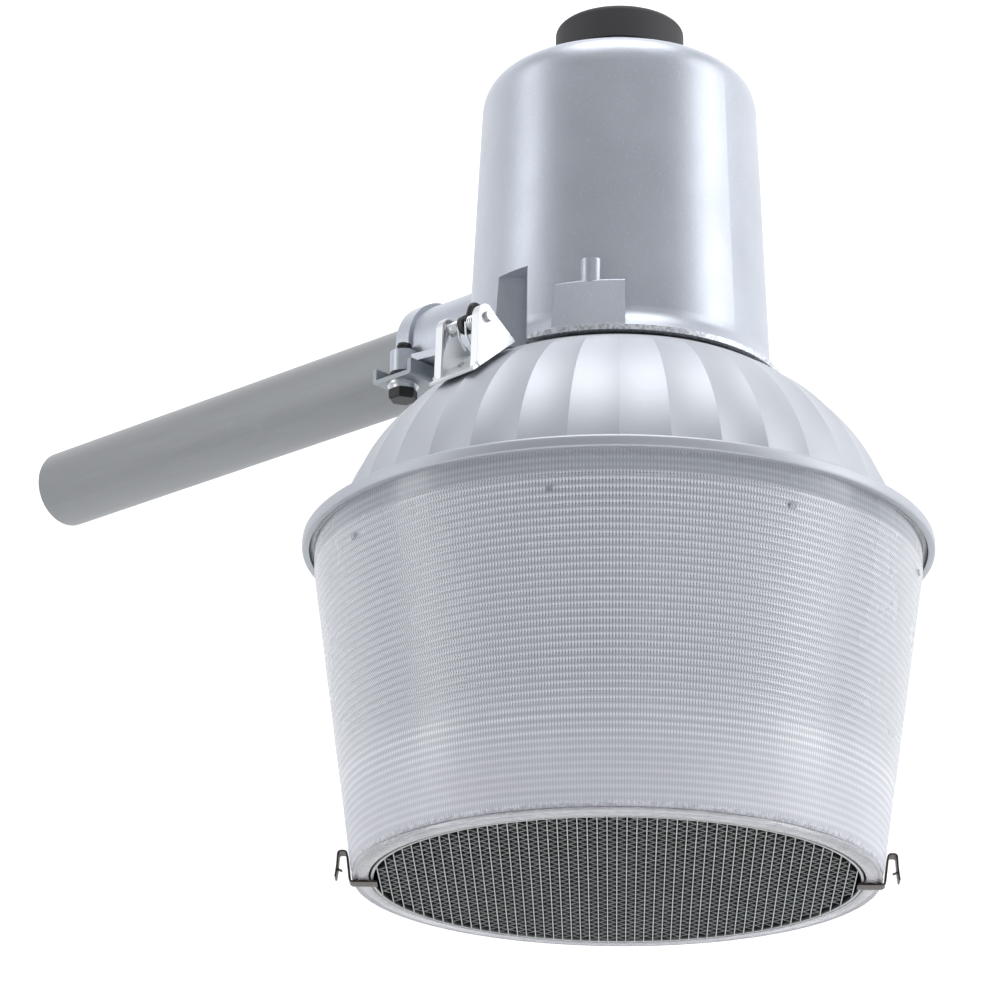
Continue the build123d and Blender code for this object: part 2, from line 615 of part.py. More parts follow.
arc_mid_z = lamp_bottom_z + 84
with BuildPart() as arc_tube:
    with BuildSketch(level(arc_mid_z - ARC_TUBE_LENGTH / 2)):
        Circle(ARC_TUBE_RADIUS)
    extrude(amount=ARC_TUBE_LENGTH)
    fillet(arc_tube.edges().filter_by(GeomType.CIRCLE), 1.5)
save(arc_tube, "arc_tube")

with BuildPart() as arc_tube_frame:
    frame_low_z = arc_mid_z - ARC_TUBE_LENGTH / 2 - 3
    frame_high_z = base_bottom_z + 6
    with BuildSketch(level(frame_low_z)):
        with Locations((10, 0), (-10, 0)):
            Circle(0.9)
    extrude(amount=frame_high_z - frame_low_z)
    for z in (frame_low_z, arc_mid_z + ARC_TUBE_LENGTH / 2 + 1.2):
        with BuildSketch(level(z)):
            Rectangle(21, 1.8)
        extrude(amount=1.8)
    with BuildSketch(level(frame_high_z - 4)):
        Circle(12)
    extrude(amount=4)
save(arc_tube_frame, "arc_tube_frame")

# ---------------------------------------------------------------- ballast and control gear
core_top_z = top_z - CORE_TOP_DROP
core_mid_z = core_top_z - CORE_HEIGHT / 2
core_bolt_places = [(x * (CORE_LENGTH / 2 - 7), z * (CORE_HEIGHT / 2 - 6.5)) for x in (1, -1) for z in (1, -1)]
core_face = Plane(origin=(ARM_REACH, -CORE_DEPTH / 2, core_mid_z), x_dir=(1, 0, 0), z_dir=(0, -1, 0))
with BuildPart() as ballast_core:
    with BuildSketch(core_face):
        Rectangle(CORE_LENGTH, CORE_HEIGHT)
        with Locations(((CORE_LEG + CORE_WINDOW) / 2, 0), (-(CORE_LEG + CORE_WINDOW) / 2, 0)):
            Rectangle(CORE_WINDOW, CORE_WINDOW_HEIGHT, mode=Mode.SUBTRACT)
        with Locations(*core_bolt_places):
            Circle(CORE_BOLT_RADIUS + SLACK, mode=Mode.SUBTRACT)
    extrude(amount=-CORE_DEPTH)
save(ballast_core, "ballast_core")

with BuildPart() as ballast_coils:
    coil_height = CORE_WINDOW_HEIGHT / 2 - 1.2
    for z in (core_mid_z - coil_height - 0.6, core_mid_z + 0.6):
        with BuildSketch(level(z)):
            RectangleRounded(CORE_LEG + 2 * CORE_WINDOW - 0.8, CORE_DEPTH + 2 * CORE_WINDOW - 3, 6)
            Rectangle(CORE_LEG + 0.6, CORE_DEPTH + 0.6, mode=Mode.SUBTRACT)
        extrude(amount=coil_height)
save(ballast_coils, "ballast_coils")

with BuildPart() as ballast_hanger:
    with BuildSketch(level(core_top_z)):
        Rectangle(2 * HANGER_HOLE_SPREAD + 14, CORE_DEPTH - 10)
        with Locations((HANGER_HOLE_SPREAD, 0), (-HANGER_HOLE_SPREAD, 0)):
            Circle(2.8, mode=Mode.SUBTRACT)
    extrude(amount=HANGER_SHEET)
save(ballast_hanger, "ballast_hanger")

with BuildPart() as hanger_screws:
    with BuildSketch(level(core_top_z)):
        with Locations((HANGER_HOLE_SPREAD, 0), (-HANGER_HOLE_SPREAD, 0)):
            RegularPolygon(4.0, 6, major_radius=False)
    extrude(amount=-3.5)
    with BuildSketch(level(core_top_z - 0.5)):
        with Locations((HANGER_HOLE_SPREAD, 0), (-HANGER_HOLE_SPREAD, 0)):
            Circle(2.5 - FIT)
    extrude(amount=HANGER_SHEET + 8)
save(hanger_screws, "hanger_screws")

with BuildPart() as core_bolts:
    with BuildSketch(core_face.offset(3.4)):
        with Locations(*core_bolt_places):
            RegularPolygon(4.0, 6, major_radius=False)
    extrude(amount=-3.4)
    with BuildSketch(core_face.offset(0.5)):
        with Locations(*core_bolt_places):
            Circle(CORE_BOLT_RADIUS)
    extrude(amount=-CORE_DEPTH - 7)
save(core_bolts, "core_bolts")

with BuildPart() as core_nuts:
    with BuildSketch(core_face.offset(-CORE_DEPTH)):
        with Locations(*core_bolt_places):
            RegularPolygon(4.0, 6, major_radius=False)
            Circle(CORE_BOLT_RADIUS + FIT, mode=Mode.SUBTRACT)
    extrude(amount=-4)
save(core_nuts, "core_nuts")

with BuildPart() as capacitor:
    with BuildSketch(level(plate_top_z)):
        with Locations((CAPACITOR_REACH, 0)):
            Circle(CAPACITOR_RADIUS)
    extrude(amount=CAPACITOR_HEIGHT)
    fillet(capacitor.edges().filter_by(GeomType.CIRCLE), 1.5)
    with BuildSketch(level(plate_top_z + CAPACITOR_HEIGHT)):
        with Locations((CAPACITOR_REACH, 7), (CAPACITOR_REACH, -7)):
            Rectangle(6.3, 0.8)
    extrude(amount=8)
save(capacitor, "capacitor")

with BuildPart() as capacitor_strap:
    with BuildSketch(level(plate_top_z + 22)):
        with Locations((CAPACITOR_REACH, 0)):
            Circle(CAPACITOR_RADIUS + 1.0)
            Circle(CAPACITOR_RADIUS + 0.1, mode=Mode.SUBTRACT)
            with Locations((-CAPACITOR_RADIUS, 0)):
                Rectangle(6, 8, mode=Mode.SUBTRACT)
    extrude(amount=12)
save(capacitor_strap, "capacitor_strap")

with BuildPart() as ignitor:
    with BuildSketch(level(plate_top_z, 45)):
        with Locations((46.5, 2)):
            RectangleRounded(27, 26, 3)
    extrude(amount=44)
save(ignitor, "ignitor")

terminal_places = [(-56.5, TERMINAL_PITCH * (i - (TERMINAL_COUNT - 1) / 2)) for i in range(TERMINAL_COUNT)]
with BuildPart() as terminal_block:
    with BuildSketch(level(plate_top_z)):
        with Locations((-55, 0)):
            Rectangle(15, TERMINAL_PITCH * TERMINAL_COUNT + 2)
    extrude(amount=16)
    with BuildSketch(level(plate_top_z + 16)):
        with Locations(*terminal_places):
            Circle(3.2)
    extrude(amount=-6, mode=Mode.SUBTRACT)
save(terminal_block, "terminal_block")

with BuildPart() as terminal_screws:
    with BuildSketch(level(plate_top_z + 10)):
        with Locations(*terminal_places):
            Circle(2.8)
    extrude(amount=2.5)
    with BuildSketch(level(plate_top_z + 12.5)):
        with Locations(*terminal_places):
            Rectangle(7, 0.8)
    extrude(amount=-1.2, mode=Mode.SUBTRACT)
save(terminal_screws, "terminal_screws")

# ---------------------------------------------------------------- reflector
inner_crest_z = crest_z - REFLECTOR_SHEET
inner_foot_z = rim_z - REFLECTOR_SHEET
inner_mid_z = (inner_crest_z + inner_foot_z) / 2
outer_mid = (DOME_CREST_RADIUS + DOME_BASE_RADIUS) / 2
with BuildPart() as reflector:
    with BuildSketch(section()):
        with BuildLine():
            Line((LAMP_OPENING_RADIUS, crest_z), (DOME_CREST_RADIUS, crest_z))
            ThreePointArc((DOME_CREST_RADIUS, crest_z), (outer_mid, dome_z(outer_mid)), (DOME_BASE_RADIUS, rim_z))
            Polyline((DOME_BASE_RADIUS, rim_z), (RIM_RADIUS, rim_z), (RIM_RADIUS, band_bottom_z),
                     (return_radius, band_bottom_z), (return_radius, band_bottom_z + RIM_RETURN_HEIGHT),
                     (band_inner_radius, band_bottom_z + RIM_RETURN_HEIGHT),
                     (band_inner_radius, inner_foot_z), (dome_inside_radius(inner_foot_z), inner_foot_z))
            ThreePointArc((dome_inside_radius(inner_foot_z), inner_foot_z),
                          (dome_inside_radius(inner_mid_z), inner_mid_z),
                          (dome_inside_radius(inner_crest_z), inner_crest_z))
            Polyline((dome_inside_radius(inner_crest_z), inner_crest_z),
                     (LAMP_OPENING_RADIUS, inner_crest_z), (LAMP_OPENING_RADIUS, crest_z))
        make_face()
    revolve(axis=lamp_axis)
    rim_edges = reflector.edges().filter_by(GeomType.CIRCLE).filter_by(lambda e: abs(e.radius - RIM_RADIUS) < 0.01)
    fillet(rim_edges, 2.2)
save(reflector, "reflector")

gasket_inner = LAMP_OPENING_RADIUS + 2.4
gasket_outer = gasket_inner + NECK_GASKET_WIDTH
turned([(gasket_inner, crest_z), (gasket_outer, crest_z), (gasket_outer, plate_z - CLEAR),
        (gasket_inner, plate_z - CLEAR)], "neck_gasket")

turned([(DOME_BASE_RADIUS + 1.5, flange_z + FLANGE_THICKNESS + CLEAR),
        (flange_radius - 0.5, flange_z + FLANGE_THICKNESS + CLEAR),
        (flange_radius - 0.5, rim_z - REFLECTOR_SHEET), (DOME_BASE_RADIUS + 1.5, rim_z - REFLECTOR_SHEET)],
       "refractor_gasket")

# ---------------------------------------------------------------- refractor
refractor_top_z = flange_z + FLANGE_THICKNESS
with BuildPart() as refractor:
    with BuildSketch(section()):
        foot_z = rim_z - BAND_BOTTOM_DROP
        with BuildLine():
            Polyline((mouth_inner_radius, mouth_z), (MOUTH_RADIUS, mouth_z), (band_radius, foot_z),
                     (band_radius, flange_z), (flange_radius, flange_z), (flange_radius, refractor_top_z),
                     (band_radius - REFRACTOR_WALL, refractor_top_z), (band_radius - REFRACTOR_WALL, foot_z),
                     (wall_radius(MOUTH_LIP_THICKNESS) - REFRACTOR_WALL, mouth_z + MOUTH_LIP_THICKNESS),
                     (mouth_inner_radius, mouth_z + MOUTH_LIP_THICKNESS), close=True)
        make_face()
    revolve(axis=lamp_axis)
    lug_z = rim_z - LUG_DROP
    lug_radius = wall_radius(REFRACTOR_DROP - LUG_DROP)
    for i in range(LUG_COUNT):
        with BuildSketch(level(lug_z - LUG_SIZE / 2, LUG_FIRST_ANGLE + 360 / LUG_COUNT * i)):
            with Locations((lug_radius - 0.5, 0)):
                Rectangle(2.8, LUG_SIZE)
        extrude(amount=LUG_SIZE)
save(refractor, "refractor")

# ---------------------------------------------------------------- louver
turned([(louver_radius - LOUVER_RING_THICKNESS, louver_z), (louver_radius, louver_z),
        (louver_radius, louver_z + LOUVER_HEIGHT), (louver_radius - LOUVER_RING_THICKNESS, louver_z + LOUVER_HEIGHT)],
       "louver_ring")

slat_reach = louver_radius - LOUVER_RING_THICKNESS
slat_count = int((slat_reach - SLAT_THICKNESS) / LOUVER_PITCH)
with BuildPart() as louver_slats:
    with BuildSketch(level(louver_z, SLAT_ANGLE)):
        for i in range(-slat_count, slat_count + 1):
            across = i * LOUVER_PITCH
            length = 2 * sqrt(slat_reach ** 2 - (abs(across) + SLAT_THICKNESS / 2) ** 2)
            with Locations((across, 0)):
                Rectangle(SLAT_THICKNESS, length)
    extrude(amount=LOUVER_HEIGHT)
save(louver_slats, "louver_slats")

# ---------------------------------------------------------------- louver clips
def clip_path():
    """Centre line of a clip in (radius, z): under the mouth, up the wall, over and down again."""
    half = CLIP_THICKNESS / 2
    leg = wall_radius(0) + SLACK + half
    top = wall_radius(CLIP_LEG_HEIGHT) + SLACK + half
    low = mouth_z - CLEAR - half
    tail = top + CLIP_BEND_WIDTH
    return [(louver_radius - CLIP_REACH, low), (leg, low), (top, mouth_z + CLIP_LEG_HEIGHT),
            (tail, mouth_z + CLIP_LEG_HEIGHT), (tail - 0.8, mouth_z + CLIP_LEG_HEIGHT - CLIP_TAIL_HEIGHT / 2),
            (tail + 0.4, mouth_z + CLIP_LEG_HEIGHT - CLIP_TAIL_HEIGHT)]


for name, angle in zip(("louver_clip_left", "louver_clip_right"), CLIP_ANGLES):
    with BuildPart() as clip:
        with BuildSketch(section(angle, -CLIP_WIDTH / 2)):
            with BuildLine():
                FilletPolyline(*clip_path(), radius=1.4)
            trace(line_width=CLIP_THICKNESS)
        extrude(amount=CLIP_WIDTH)
    save(clip, name)

# ---------------------------------------------------------------- spring latches
ear_half = LATCH_EAR_GAP / 2
foot_out = LATCH_PIVOT_RADIUS + 6.0
foot_in = LIP_RADIUS + 5.5
pin_half = ear_half + LATCH_SHEET + 1.2


def foot_z(radius):
    """Height of the bracket's flat base over the dome, clear of the dome's crown."""
    share = (radius - foot_in) / (foot_out - foot_in)
    return dome_z(foot_in) + (dome_z(foot_out) - dome_z(foot_in)) * share + LATCH_LIFT


def ear_outline():
    """One ear in (radius, z): round over the pin, with its foot following the dome."""
    crown = LATCH_PIVOT_RADIUS
    with BuildLine() as outline:
        Polyline((crown - 3.5, latch_z + 4.0), (foot_in, foot_z(foot_in) + 3.0), (foot_in, foot_z(foot_in)),
                 (foot_out, foot_z(foot_out)), (crown + 5.0, latch_z + 1.0))
        ThreePointArc((crown + 5.0, latch_z + 1.0), (crown + 1.5, latch_z + 6.0), (crown - 3.5, latch_z + 4.0))
    return outline


def hook_path():
    """Centre line of the latch wire in (radius, z): from its eye over the hump to the nose."""
    keeper_radius = WALL_LOW_RADIUS - KEEPER_DEPTH
    return [(LATCH_PIVOT_RADIUS, latch_z),
            (LATCH_PIVOT_RADIUS - 4.4, latch_z + 15.0), (LIP_RADIUS + 1.0, lip_z + 3.0),
            (keeper_radius + 10.5, lip_z + 7.5)]


eye_radius = LATCH_PIN_RADIUS + FIT + 2 * LATCH_WIRE_RADIUS
for side, angle in zip(("right", "left"), LATCH_ANGLES):
    with BuildPart() as bracket:
        for start in (-ear_half - LATCH_SHEET, ear_half):
            with BuildSketch(section(angle, start)):
                add(ear_outline())
                make_face()
                with Locations((LATCH_PIVOT_RADIUS, latch_z)):
                    Circle(LATCH_PIN_RADIUS + FIT, mode=Mode.SUBTRACT)
            extrude(amount=LATCH_SHEET)
        with BuildSketch(section(angle, -ear_half - LATCH_SHEET)):
            with BuildLine():
                Polyline((foot_in, foot_z(foot_in)), (foot_out + 3, foot_z(foot_out + 3)),
                         (foot_out + 3, foot_z(foot_out + 3) + LATCH_SHEET),
                         (foot_in, foot_z(foot_in) + LATCH_SHEET), close=True)
            make_face()
        extrude(amount=LATCH_EAR_GAP + 2 * LATCH_SHEET)
    save(bracket, f"latch_bracket_{side}")

    with BuildPart() as pin:
        with BuildSketch(section(angle, -pin_half)):
            with Locations((LATCH_PIVOT_RADIUS, latch_z)):
                Circle(LATCH_PIN_RADIUS)
        extrude(amount=2 * pin_half)
        for start in (-pin_half - 1.0, ear_half + LATCH_SHEET + 0.1):
            with BuildSketch(section(angle, start)):
                with Locations((LATCH_PIVOT_RADIUS, latch_z)):
                    Circle(LATCH_PIN_RADIUS + 1.1)
            extrude(amount=2.1)
    save(pin, f"latch_pin_{side}")

    with BuildPart() as hook:
        with BuildSketch(section(angle, -LATCH_WIRE_RADIUS)):
            with Locations((LATCH_PIVOT_RADIUS, latch_z)):
                Circle(eye_radius)
        extrude(amount=2 * LATCH_WIRE_RADIUS)
        with BuildLine(section(angle)) as wire:
            FilletPolyline(*hook_path(), radius=3.5)
        with BuildSketch(Plane(origin=wire.line @ 0, z_dir=wire.line % 0)):
            Circle(LATCH_WIRE_RADIUS)
        sweep()
        with BuildSketch(section(angle, -LATCH_WIRE_RADIUS - 1)):
            with Locations((LATCH_PIVOT_RADIUS, latch_z)):
                Circle(LATCH_PIN_RADIUS + FIT)
        extrude(amount=2 * LATCH_WIRE_RADIUS + 2, mode=Mode.SUBTRACT)
    save(hook, f"latch_hook_{side}")

    with BuildPart() as spring:
        for start in (LATCH_WIRE_RADIUS + 0.8, -LATCH_WIRE_RADIUS - 0.8 - LATCH_SPRING_LENGTH):
            with BuildSketch(section(angle, start)):
                with Locations((LATCH_PIVOT_RADIUS, latch_z)):
                    Circle(LATCH_SPRING_RADIUS)
                    Circle(LATCH_PIN_RADIUS + 0.4, mode=Mode.SUBTRACT)
            extrude(amount=LATCH_SPRING_LENGTH)
    save(spring, f"latch_spring_{side}")

with BuildPart() as latch_rivets:
    base_slope = (foot_z(foot_out) - foot_z(foot_in)) / (foot_out - foot_in)
    for angle in LATCH_ANGLES:
        middle = (foot_in + foot_out) / 2
        for sideways in (-7.0, 7.0):
            plane = section(angle, sideways)
            up_slope = plane.z_dir.cross(plane.x_dir + Vector(0, 0, base_slope)).normalized()
            seat = plane.origin + plane.x_dir * middle + Vector(0, 0, foot_z(middle))
            with BuildSketch(Plane(origin=seat, z_dir=up_slope).offset(-LATCH_LIFT - REFLECTOR_SHEET - 1.0)):
                Circle(2.0)
            extrude(amount=LATCH_LIFT + REFLECTOR_SHEET + LATCH_SHEET + 2.2)
save(latch_rivets, "latch_rivets")
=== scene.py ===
"""Visual model of an arm-mounted area lamp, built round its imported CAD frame."""

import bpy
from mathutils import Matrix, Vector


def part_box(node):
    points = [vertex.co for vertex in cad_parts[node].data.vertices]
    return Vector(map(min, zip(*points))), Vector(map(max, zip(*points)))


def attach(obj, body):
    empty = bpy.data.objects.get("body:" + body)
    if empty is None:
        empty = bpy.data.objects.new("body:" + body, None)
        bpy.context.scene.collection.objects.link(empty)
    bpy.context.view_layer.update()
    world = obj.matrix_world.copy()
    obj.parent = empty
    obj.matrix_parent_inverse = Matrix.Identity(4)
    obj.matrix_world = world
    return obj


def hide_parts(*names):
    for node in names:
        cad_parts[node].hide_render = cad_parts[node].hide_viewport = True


bl_info = {
    "name": "Arm-mounted area lamp",
    "version": (1, 0, 0),
    "blender": (4, 5, 0),
    "location": "3D View > Sidebar > Area Lamp",
    "description": "Fluted, prismatic and sheet-metal detail and finishes for an area lamp",
    "category": "Add Mesh",
}

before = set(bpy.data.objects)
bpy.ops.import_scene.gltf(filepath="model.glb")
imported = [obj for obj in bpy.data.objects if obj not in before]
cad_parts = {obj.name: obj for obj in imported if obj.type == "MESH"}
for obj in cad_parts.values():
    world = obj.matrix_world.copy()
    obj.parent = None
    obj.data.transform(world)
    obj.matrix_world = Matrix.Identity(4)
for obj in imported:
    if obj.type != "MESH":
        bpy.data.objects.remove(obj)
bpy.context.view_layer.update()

import math

import bmesh
import bpy
import numpy as np
from bpy.props import FloatProperty, FloatVectorProperty, IntProperty, PointerProperty
from mathutils import Matrix, Vector

MM = 0.001
TURN = 2 * math.pi
HEX = 6                   # corners of a bolt's head
DOME_ROWS = 40            # rows of faces down the dome
FLUTE_COLUMNS = 16        # columns of faces across one flute
CORNER_ROWS = 4           # rows of faces round the rim's corner
BOWL_COLUMNS = 300        # columns of faces round the bowl
BOWL_INSIDE_ROWS = 18     # rows of points up the bowl's plain inside
THREAD_COLUMNS = 24       # columns of faces round a bolt's shank
THREAD_ROWS = 4           # rows of faces to each turn of thread
THREAD_DEPTH = 0.62 * MM
COIL_STEPS = 14           # pieces of wire to each turn of a coil
WIRE_SIDES = 8
LOUVER_RING_WALL = 1.2 * MM
SENSOR_WIDTH = 36         # of the camera, in millimetres
BACKDROP_REACH = 4        # how far the backdrop spreads each way and up
FLOOR_REACH = 6           # how far the floor spreads each way
PAPER_GLOW = 0.13         # light that the backdrop's paper gives of itself
WORLD_LIGHT = 0.27
TARGET_Z = -0.10          # height on the lamp's axis that the lights aim at
# soft lights: name, place from the target (right, toward the camera, up), width, height, power
LIGHTS = (
    ("key", 1.45, 0.30, 0.45, 0.70, 1.9, 17.0),
    ("fill", -1.45, 0.32, 0.35, 0.40, 1.9, 9.0),
    ("low", 0.0, 0.9, -0.85, 1.2, 0.5, 2.4),
    ("front", 0.35, 1.9, 0.25, 0.35, 0.35, 1.8),
    ("top", 0.0, 0.3, 1.3, 1.0, 0.6, 12.0),
)


def middle(node):
    """Centre of a CAD node's box."""
    low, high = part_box(node)
    return (low + high) / 2


def half_width(node):
    """Half of a CAD node's box along Y, which is its radius if it is round."""
    low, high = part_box(node)
    return (high.y - low.y) / 2


AXIS = middle("louver_ring").xy
CREST_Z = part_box("reflector")[1].z
BAND_FOOT_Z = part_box("reflector")[0].z
RIM_RADIUS = half_width("reflector")
MOUTH_Z, REFRACTOR_TOP_Z = (corner.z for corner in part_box("refractor"))
FLANGE_RADIUS = half_width("refractor")
LOUVER_FOOT_Z, LOUVER_TOP_Z = (corner.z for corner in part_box("louver_ring"))
LOUVER_RADIUS = half_width("louver_ring")
LIP_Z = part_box("housing")[0].z


# ---------------------------------------------------------------- sizes and colours
def size(name, description, default):
    """A length that a user may change."""
    return FloatProperty(name=name, description=description, default=default,
                         min=0.0, precision=5, unit="LENGTH")


def angle(name, description, degrees):
    """An angle that a user may change."""
    return FloatProperty(name=name, description=description, default=math.radians(degrees),
                         subtype="ANGLE")


def count(name, description, default):
    """A whole number that a user may change."""
    return IntProperty(name=name, description=description, default=default, min=1)


def colour(name, description, default):
    """A colour that a user may change."""
    return FloatVectorProperty(name=name, description=description, default=default, size=4,
                               min=0.0, max=1.0, subtype="COLOR")


class ReflectorSizes(bpy.types.PropertyGroup):
    """Sizes of the fluted reflector."""
    flutes: count("Flutes", "Hollow panels round the dome", 36)
    first_ridge: angle("First ridge", "Angle of one ridge about the lamp's axis", -48.2)
    flute_depth: size("Flute depth", "Deepest part of a panel at the dome's foot", 1.75 * MM)
    opening: size("Opening", "Radius of the hole for the lamp", 43.8 * MM)
    crest_radius: size("Crest radius", "Edge of the flat crest, where the curve begins", 79.6 * MM)
    curve: size("Curve", "Radius of the dome's curve", 112.1 * MM)
    foot_radius: size("Foot radius", "Radius of the dome where it meets the rim", 137.8 * MM)
    sheet: size("Sheet", "Thickness of the sheet", 1.2 * MM)
    band_height: size("Band height", "Upright band under the rim", 5.0 * MM)
    band_thickness: size("Band thickness", "Folded thickness of the rim band", 3.4 * MM)
    rim_edge: size("Rim edge", "Rounding of the rim's corner", 2.2 * MM)


class RefractorSizes(bpy.types.PropertyGroup):
    """Sizes of the prismatic refractor."""
    mouth: size("Mouth radius", "Outside radius at the mouth", 124.2 * MM)
    wall: size("Wall", "Thickness of the wall", 3.0 * MM)
    lip: size("Lip", "Width of the lip that holds the louver", 7.8 * MM)
    lip_thickness: size("Lip thickness", "Thickness of that lip", 2.5 * MM)
    band_foot: size("Band foot", "Foot of the upright band under the top edge", 10.6 * MM)
    flange: size("Flange", "Thickness of the top flange", 1.4 * MM)
    flange_width: size("Flange width", "How far the flange stands out", 2.5 * MM)
    ring_pitch: size("Ring pitch", "Height of one horizontal prism", 3.5 * MM)
    ring_depth: size("Ring depth", "Depth of the groove between prisms", 0.85 * MM)
    plain_height: size("Frosted height", "Height of the zone with wide, shallow prisms", 44 * MM)
    ribs: count("Ribs", "Upright ribs round the bowl", 600)
    lugs: count("Lugs", "Small lugs under the band", 8)
    first_lug: angle("First lug", "Angle of one lug about the lamp's axis", -60.6)
    lug: size("Lug", "Side of a lug", 3.0 * MM)
    lug_drop: size("Lug drop", "Lugs' centre below the refractor's top", 19.8 * MM)


class LouverSizes(bpy.types.PropertyGroup):
    """Sizes of the louver and its clips."""
    pitch: size("Pitch", "Spacing of the straight strips", 4.45 * MM)
    strip: size("Strip", "Thickness of a straight strip", 0.5 * MM)
    fold: size("Fold", "Length of one fold pair of the zigzag strips", 7.8 * MM)
    foil: size("Foil", "Thickness of a zigzag strip", 0.4 * MM)
    across: angle("Across", "Direction across the straight strips", 41.6)
    clip_width: size("Clip width", "Width of the spring clips", 8.8 * MM)
    clip_thickness: size("Clip thickness", "Thickness of the spring clips", 0.9 * MM)
    clip_leg: size("Clip leg", "Height of a clip's upright leg", 14.0 * MM)
    clip_bend: size("Clip bend", "Width of a clip's bend over its top", 4.0 * MM)
    clip_tail: size("Clip tail", "Length of a clip's outer leg", 12.5 * MM)
    clip_reach: size("Clip reach", "How far a clip reaches under the louver", 3.0 * MM)


class LatchSizes(bpy.types.PropertyGroup):
    """Sizes of the latches and the arm clamp."""
    ear_gap: size("Ear gap", "Gap between a bracket's ears", 27.0 * MM)
    sheet: size("Sheet", "Thickness of the bracket", 1.5 * MM)
    fold: size("Fold", "Width of the fold along each ear's edge", 3.4 * MM)
    wire: size("Spring wire", "Radius of the spring's wire", 0.6 * MM)
    coil: size("Coil radius", "Radius of the spring's coil to the middle of its wire", 2.9 * MM)
    turns: count("Turns", "Turns of each coil", 6)
    bolt: size("Bolt radius", "Radius of the clamp bolts", 4.0 * MM)
    thread: size("Thread pitch", "Pitch of the clamp bolts' thread", 1.25 * MM)
    head: size("Bolt head", "Across flats of the bolt heads", 13.0 * MM)
    head_height: size("Head height", "Height of the bolt heads", 5.5 * MM)


class LampColours(bpy.types.PropertyGroup):
    """Colours of the finishes."""
    enamel: colour("Enamel", "Grey enamel of the casting", (0.46, 0.49, 0.545, 1))
    enamel_worn: colour("Bare cast edge", "Bare metal along the edges", (0.78, 0.80, 0.83, 1))
    arm: colour("Arm", "Grey enamel of the arm", (0.27, 0.28, 0.29, 1))
    sheet: colour("Reflector", "Bright hydroformed sheet", (0.47, 0.49, 0.53, 1))
    bowl: colour("Bowl", "Prismatic part of the refractor", (0.72, 0.74, 0.79, 1))
    bowl_frost: colour("Frosted bowl", "Frosted foot of the refractor", (0.56, 0.56, 0.62, 1))
    # This colour is painted shade in the grooves between the ribs and prisms and under the band;
    # the dots by the mouth use it too.
    bowl_shade_and_dots: colour("Bowl grooves", "Grooves between the ribs", (0.26, 0.28, 0.32, 1))
    louver: colour("Louver", "Black with a faint green-blue cast", (0.022, 0.026, 0.026, 1))
    # The louver edge colour is a painted highlight: the glint along the strips' lower edges.
    louver_edge_glint: colour("Louver edges", "Rubbed lower edges of the strips", (0.42, 0.45, 0.44, 1))
    spring: colour("Spring strip", "Dark brown spring strip", (0.035, 0.024, 0.018, 1))
    zinc: colour("Zinc", "Bright zinc plate", (0.58, 0.60, 0.64, 1))
    galvanised: colour("Galvanised", "Grey galvanised steel", (0.30, 0.33, 0.35, 1))
    black: colour("Black steel", "Black oxide", (0.018, 0.018, 0.020, 1))
    moulding: colour("Moulding", "Black moulding", (0.006, 0.009, 0.015, 1))


class StageSizes(bpy.types.PropertyGroup):
    """Camera, backdrop and floor."""
    camera_angle: angle("Camera angle", "Direction of the camera from the lamp's axis", -48.4)
    camera_reach: size("Camera reach", "Camera's distance from the lamp's axis", 1.76499)
    camera_drop: size("Camera drop", "Camera's height below the arm", 0.75915)
    look_angle: angle("Look angle", "Direction that the camera looks in", 133.463)
    look_up: angle("Look up", "How far the camera looks up", 20.254)
    roll: angle("Roll", "Camera's roll", 0.8326)
    lens: FloatProperty(name="Lens", description="Focal length", default=139.33, unit="CAMERA")
    wall: size("Wall", "Backdrop's distance behind the lamp's axis", 0.46)
    floor: size("Floor", "Floor's depth below the arm", 1.05)


GROUPS = {"lamp_reflector": ReflectorSizes, "lamp_refractor": RefractorSizes,
          "lamp_louver": LouverSizes, "lamp_latch": LatchSizes,
          "lamp_colours": LampColours, "lamp_stage": StageSizes}


# ---------------------------------------------------------------- finishes
MIX_FACTOR, MIX_A, MIX_B, MIX_COLOUR = 0, 6, 7, 2      # the Mix node's colour sockets


class Line:
    """A node's output in an expression: each operator adds its Math node."""

    def __init__(self, finish, socket):
        self.finish = finish
        self.socket = socket

    def output(self, name):
        """Another output of the same node."""
        return Line(self.finish, self.socket.node.outputs[name])

    def math(self, operation, *values):
        """A Math node on these values."""
        return self.finish.node("ShaderNodeMath", {"operation": operation}, dict(enumerate(values)))

    def __add__(self, other):
        return self.math("ADD", self, other)

    def __radd__(self, other):
        return self.math("ADD", other, self)

    def __sub__(self, other):
        return self.math("SUBTRACT", self, other)

    def __rsub__(self, other):
        return self.math("SUBTRACT", other, self)

    def __mul__(self, other):
        return self.math("MULTIPLY", self, other)

    def __rmul__(self, other):
        return self.math("MULTIPLY", other, self)

    def __pow__(self, other):
        return self.math("POWER", self, other)


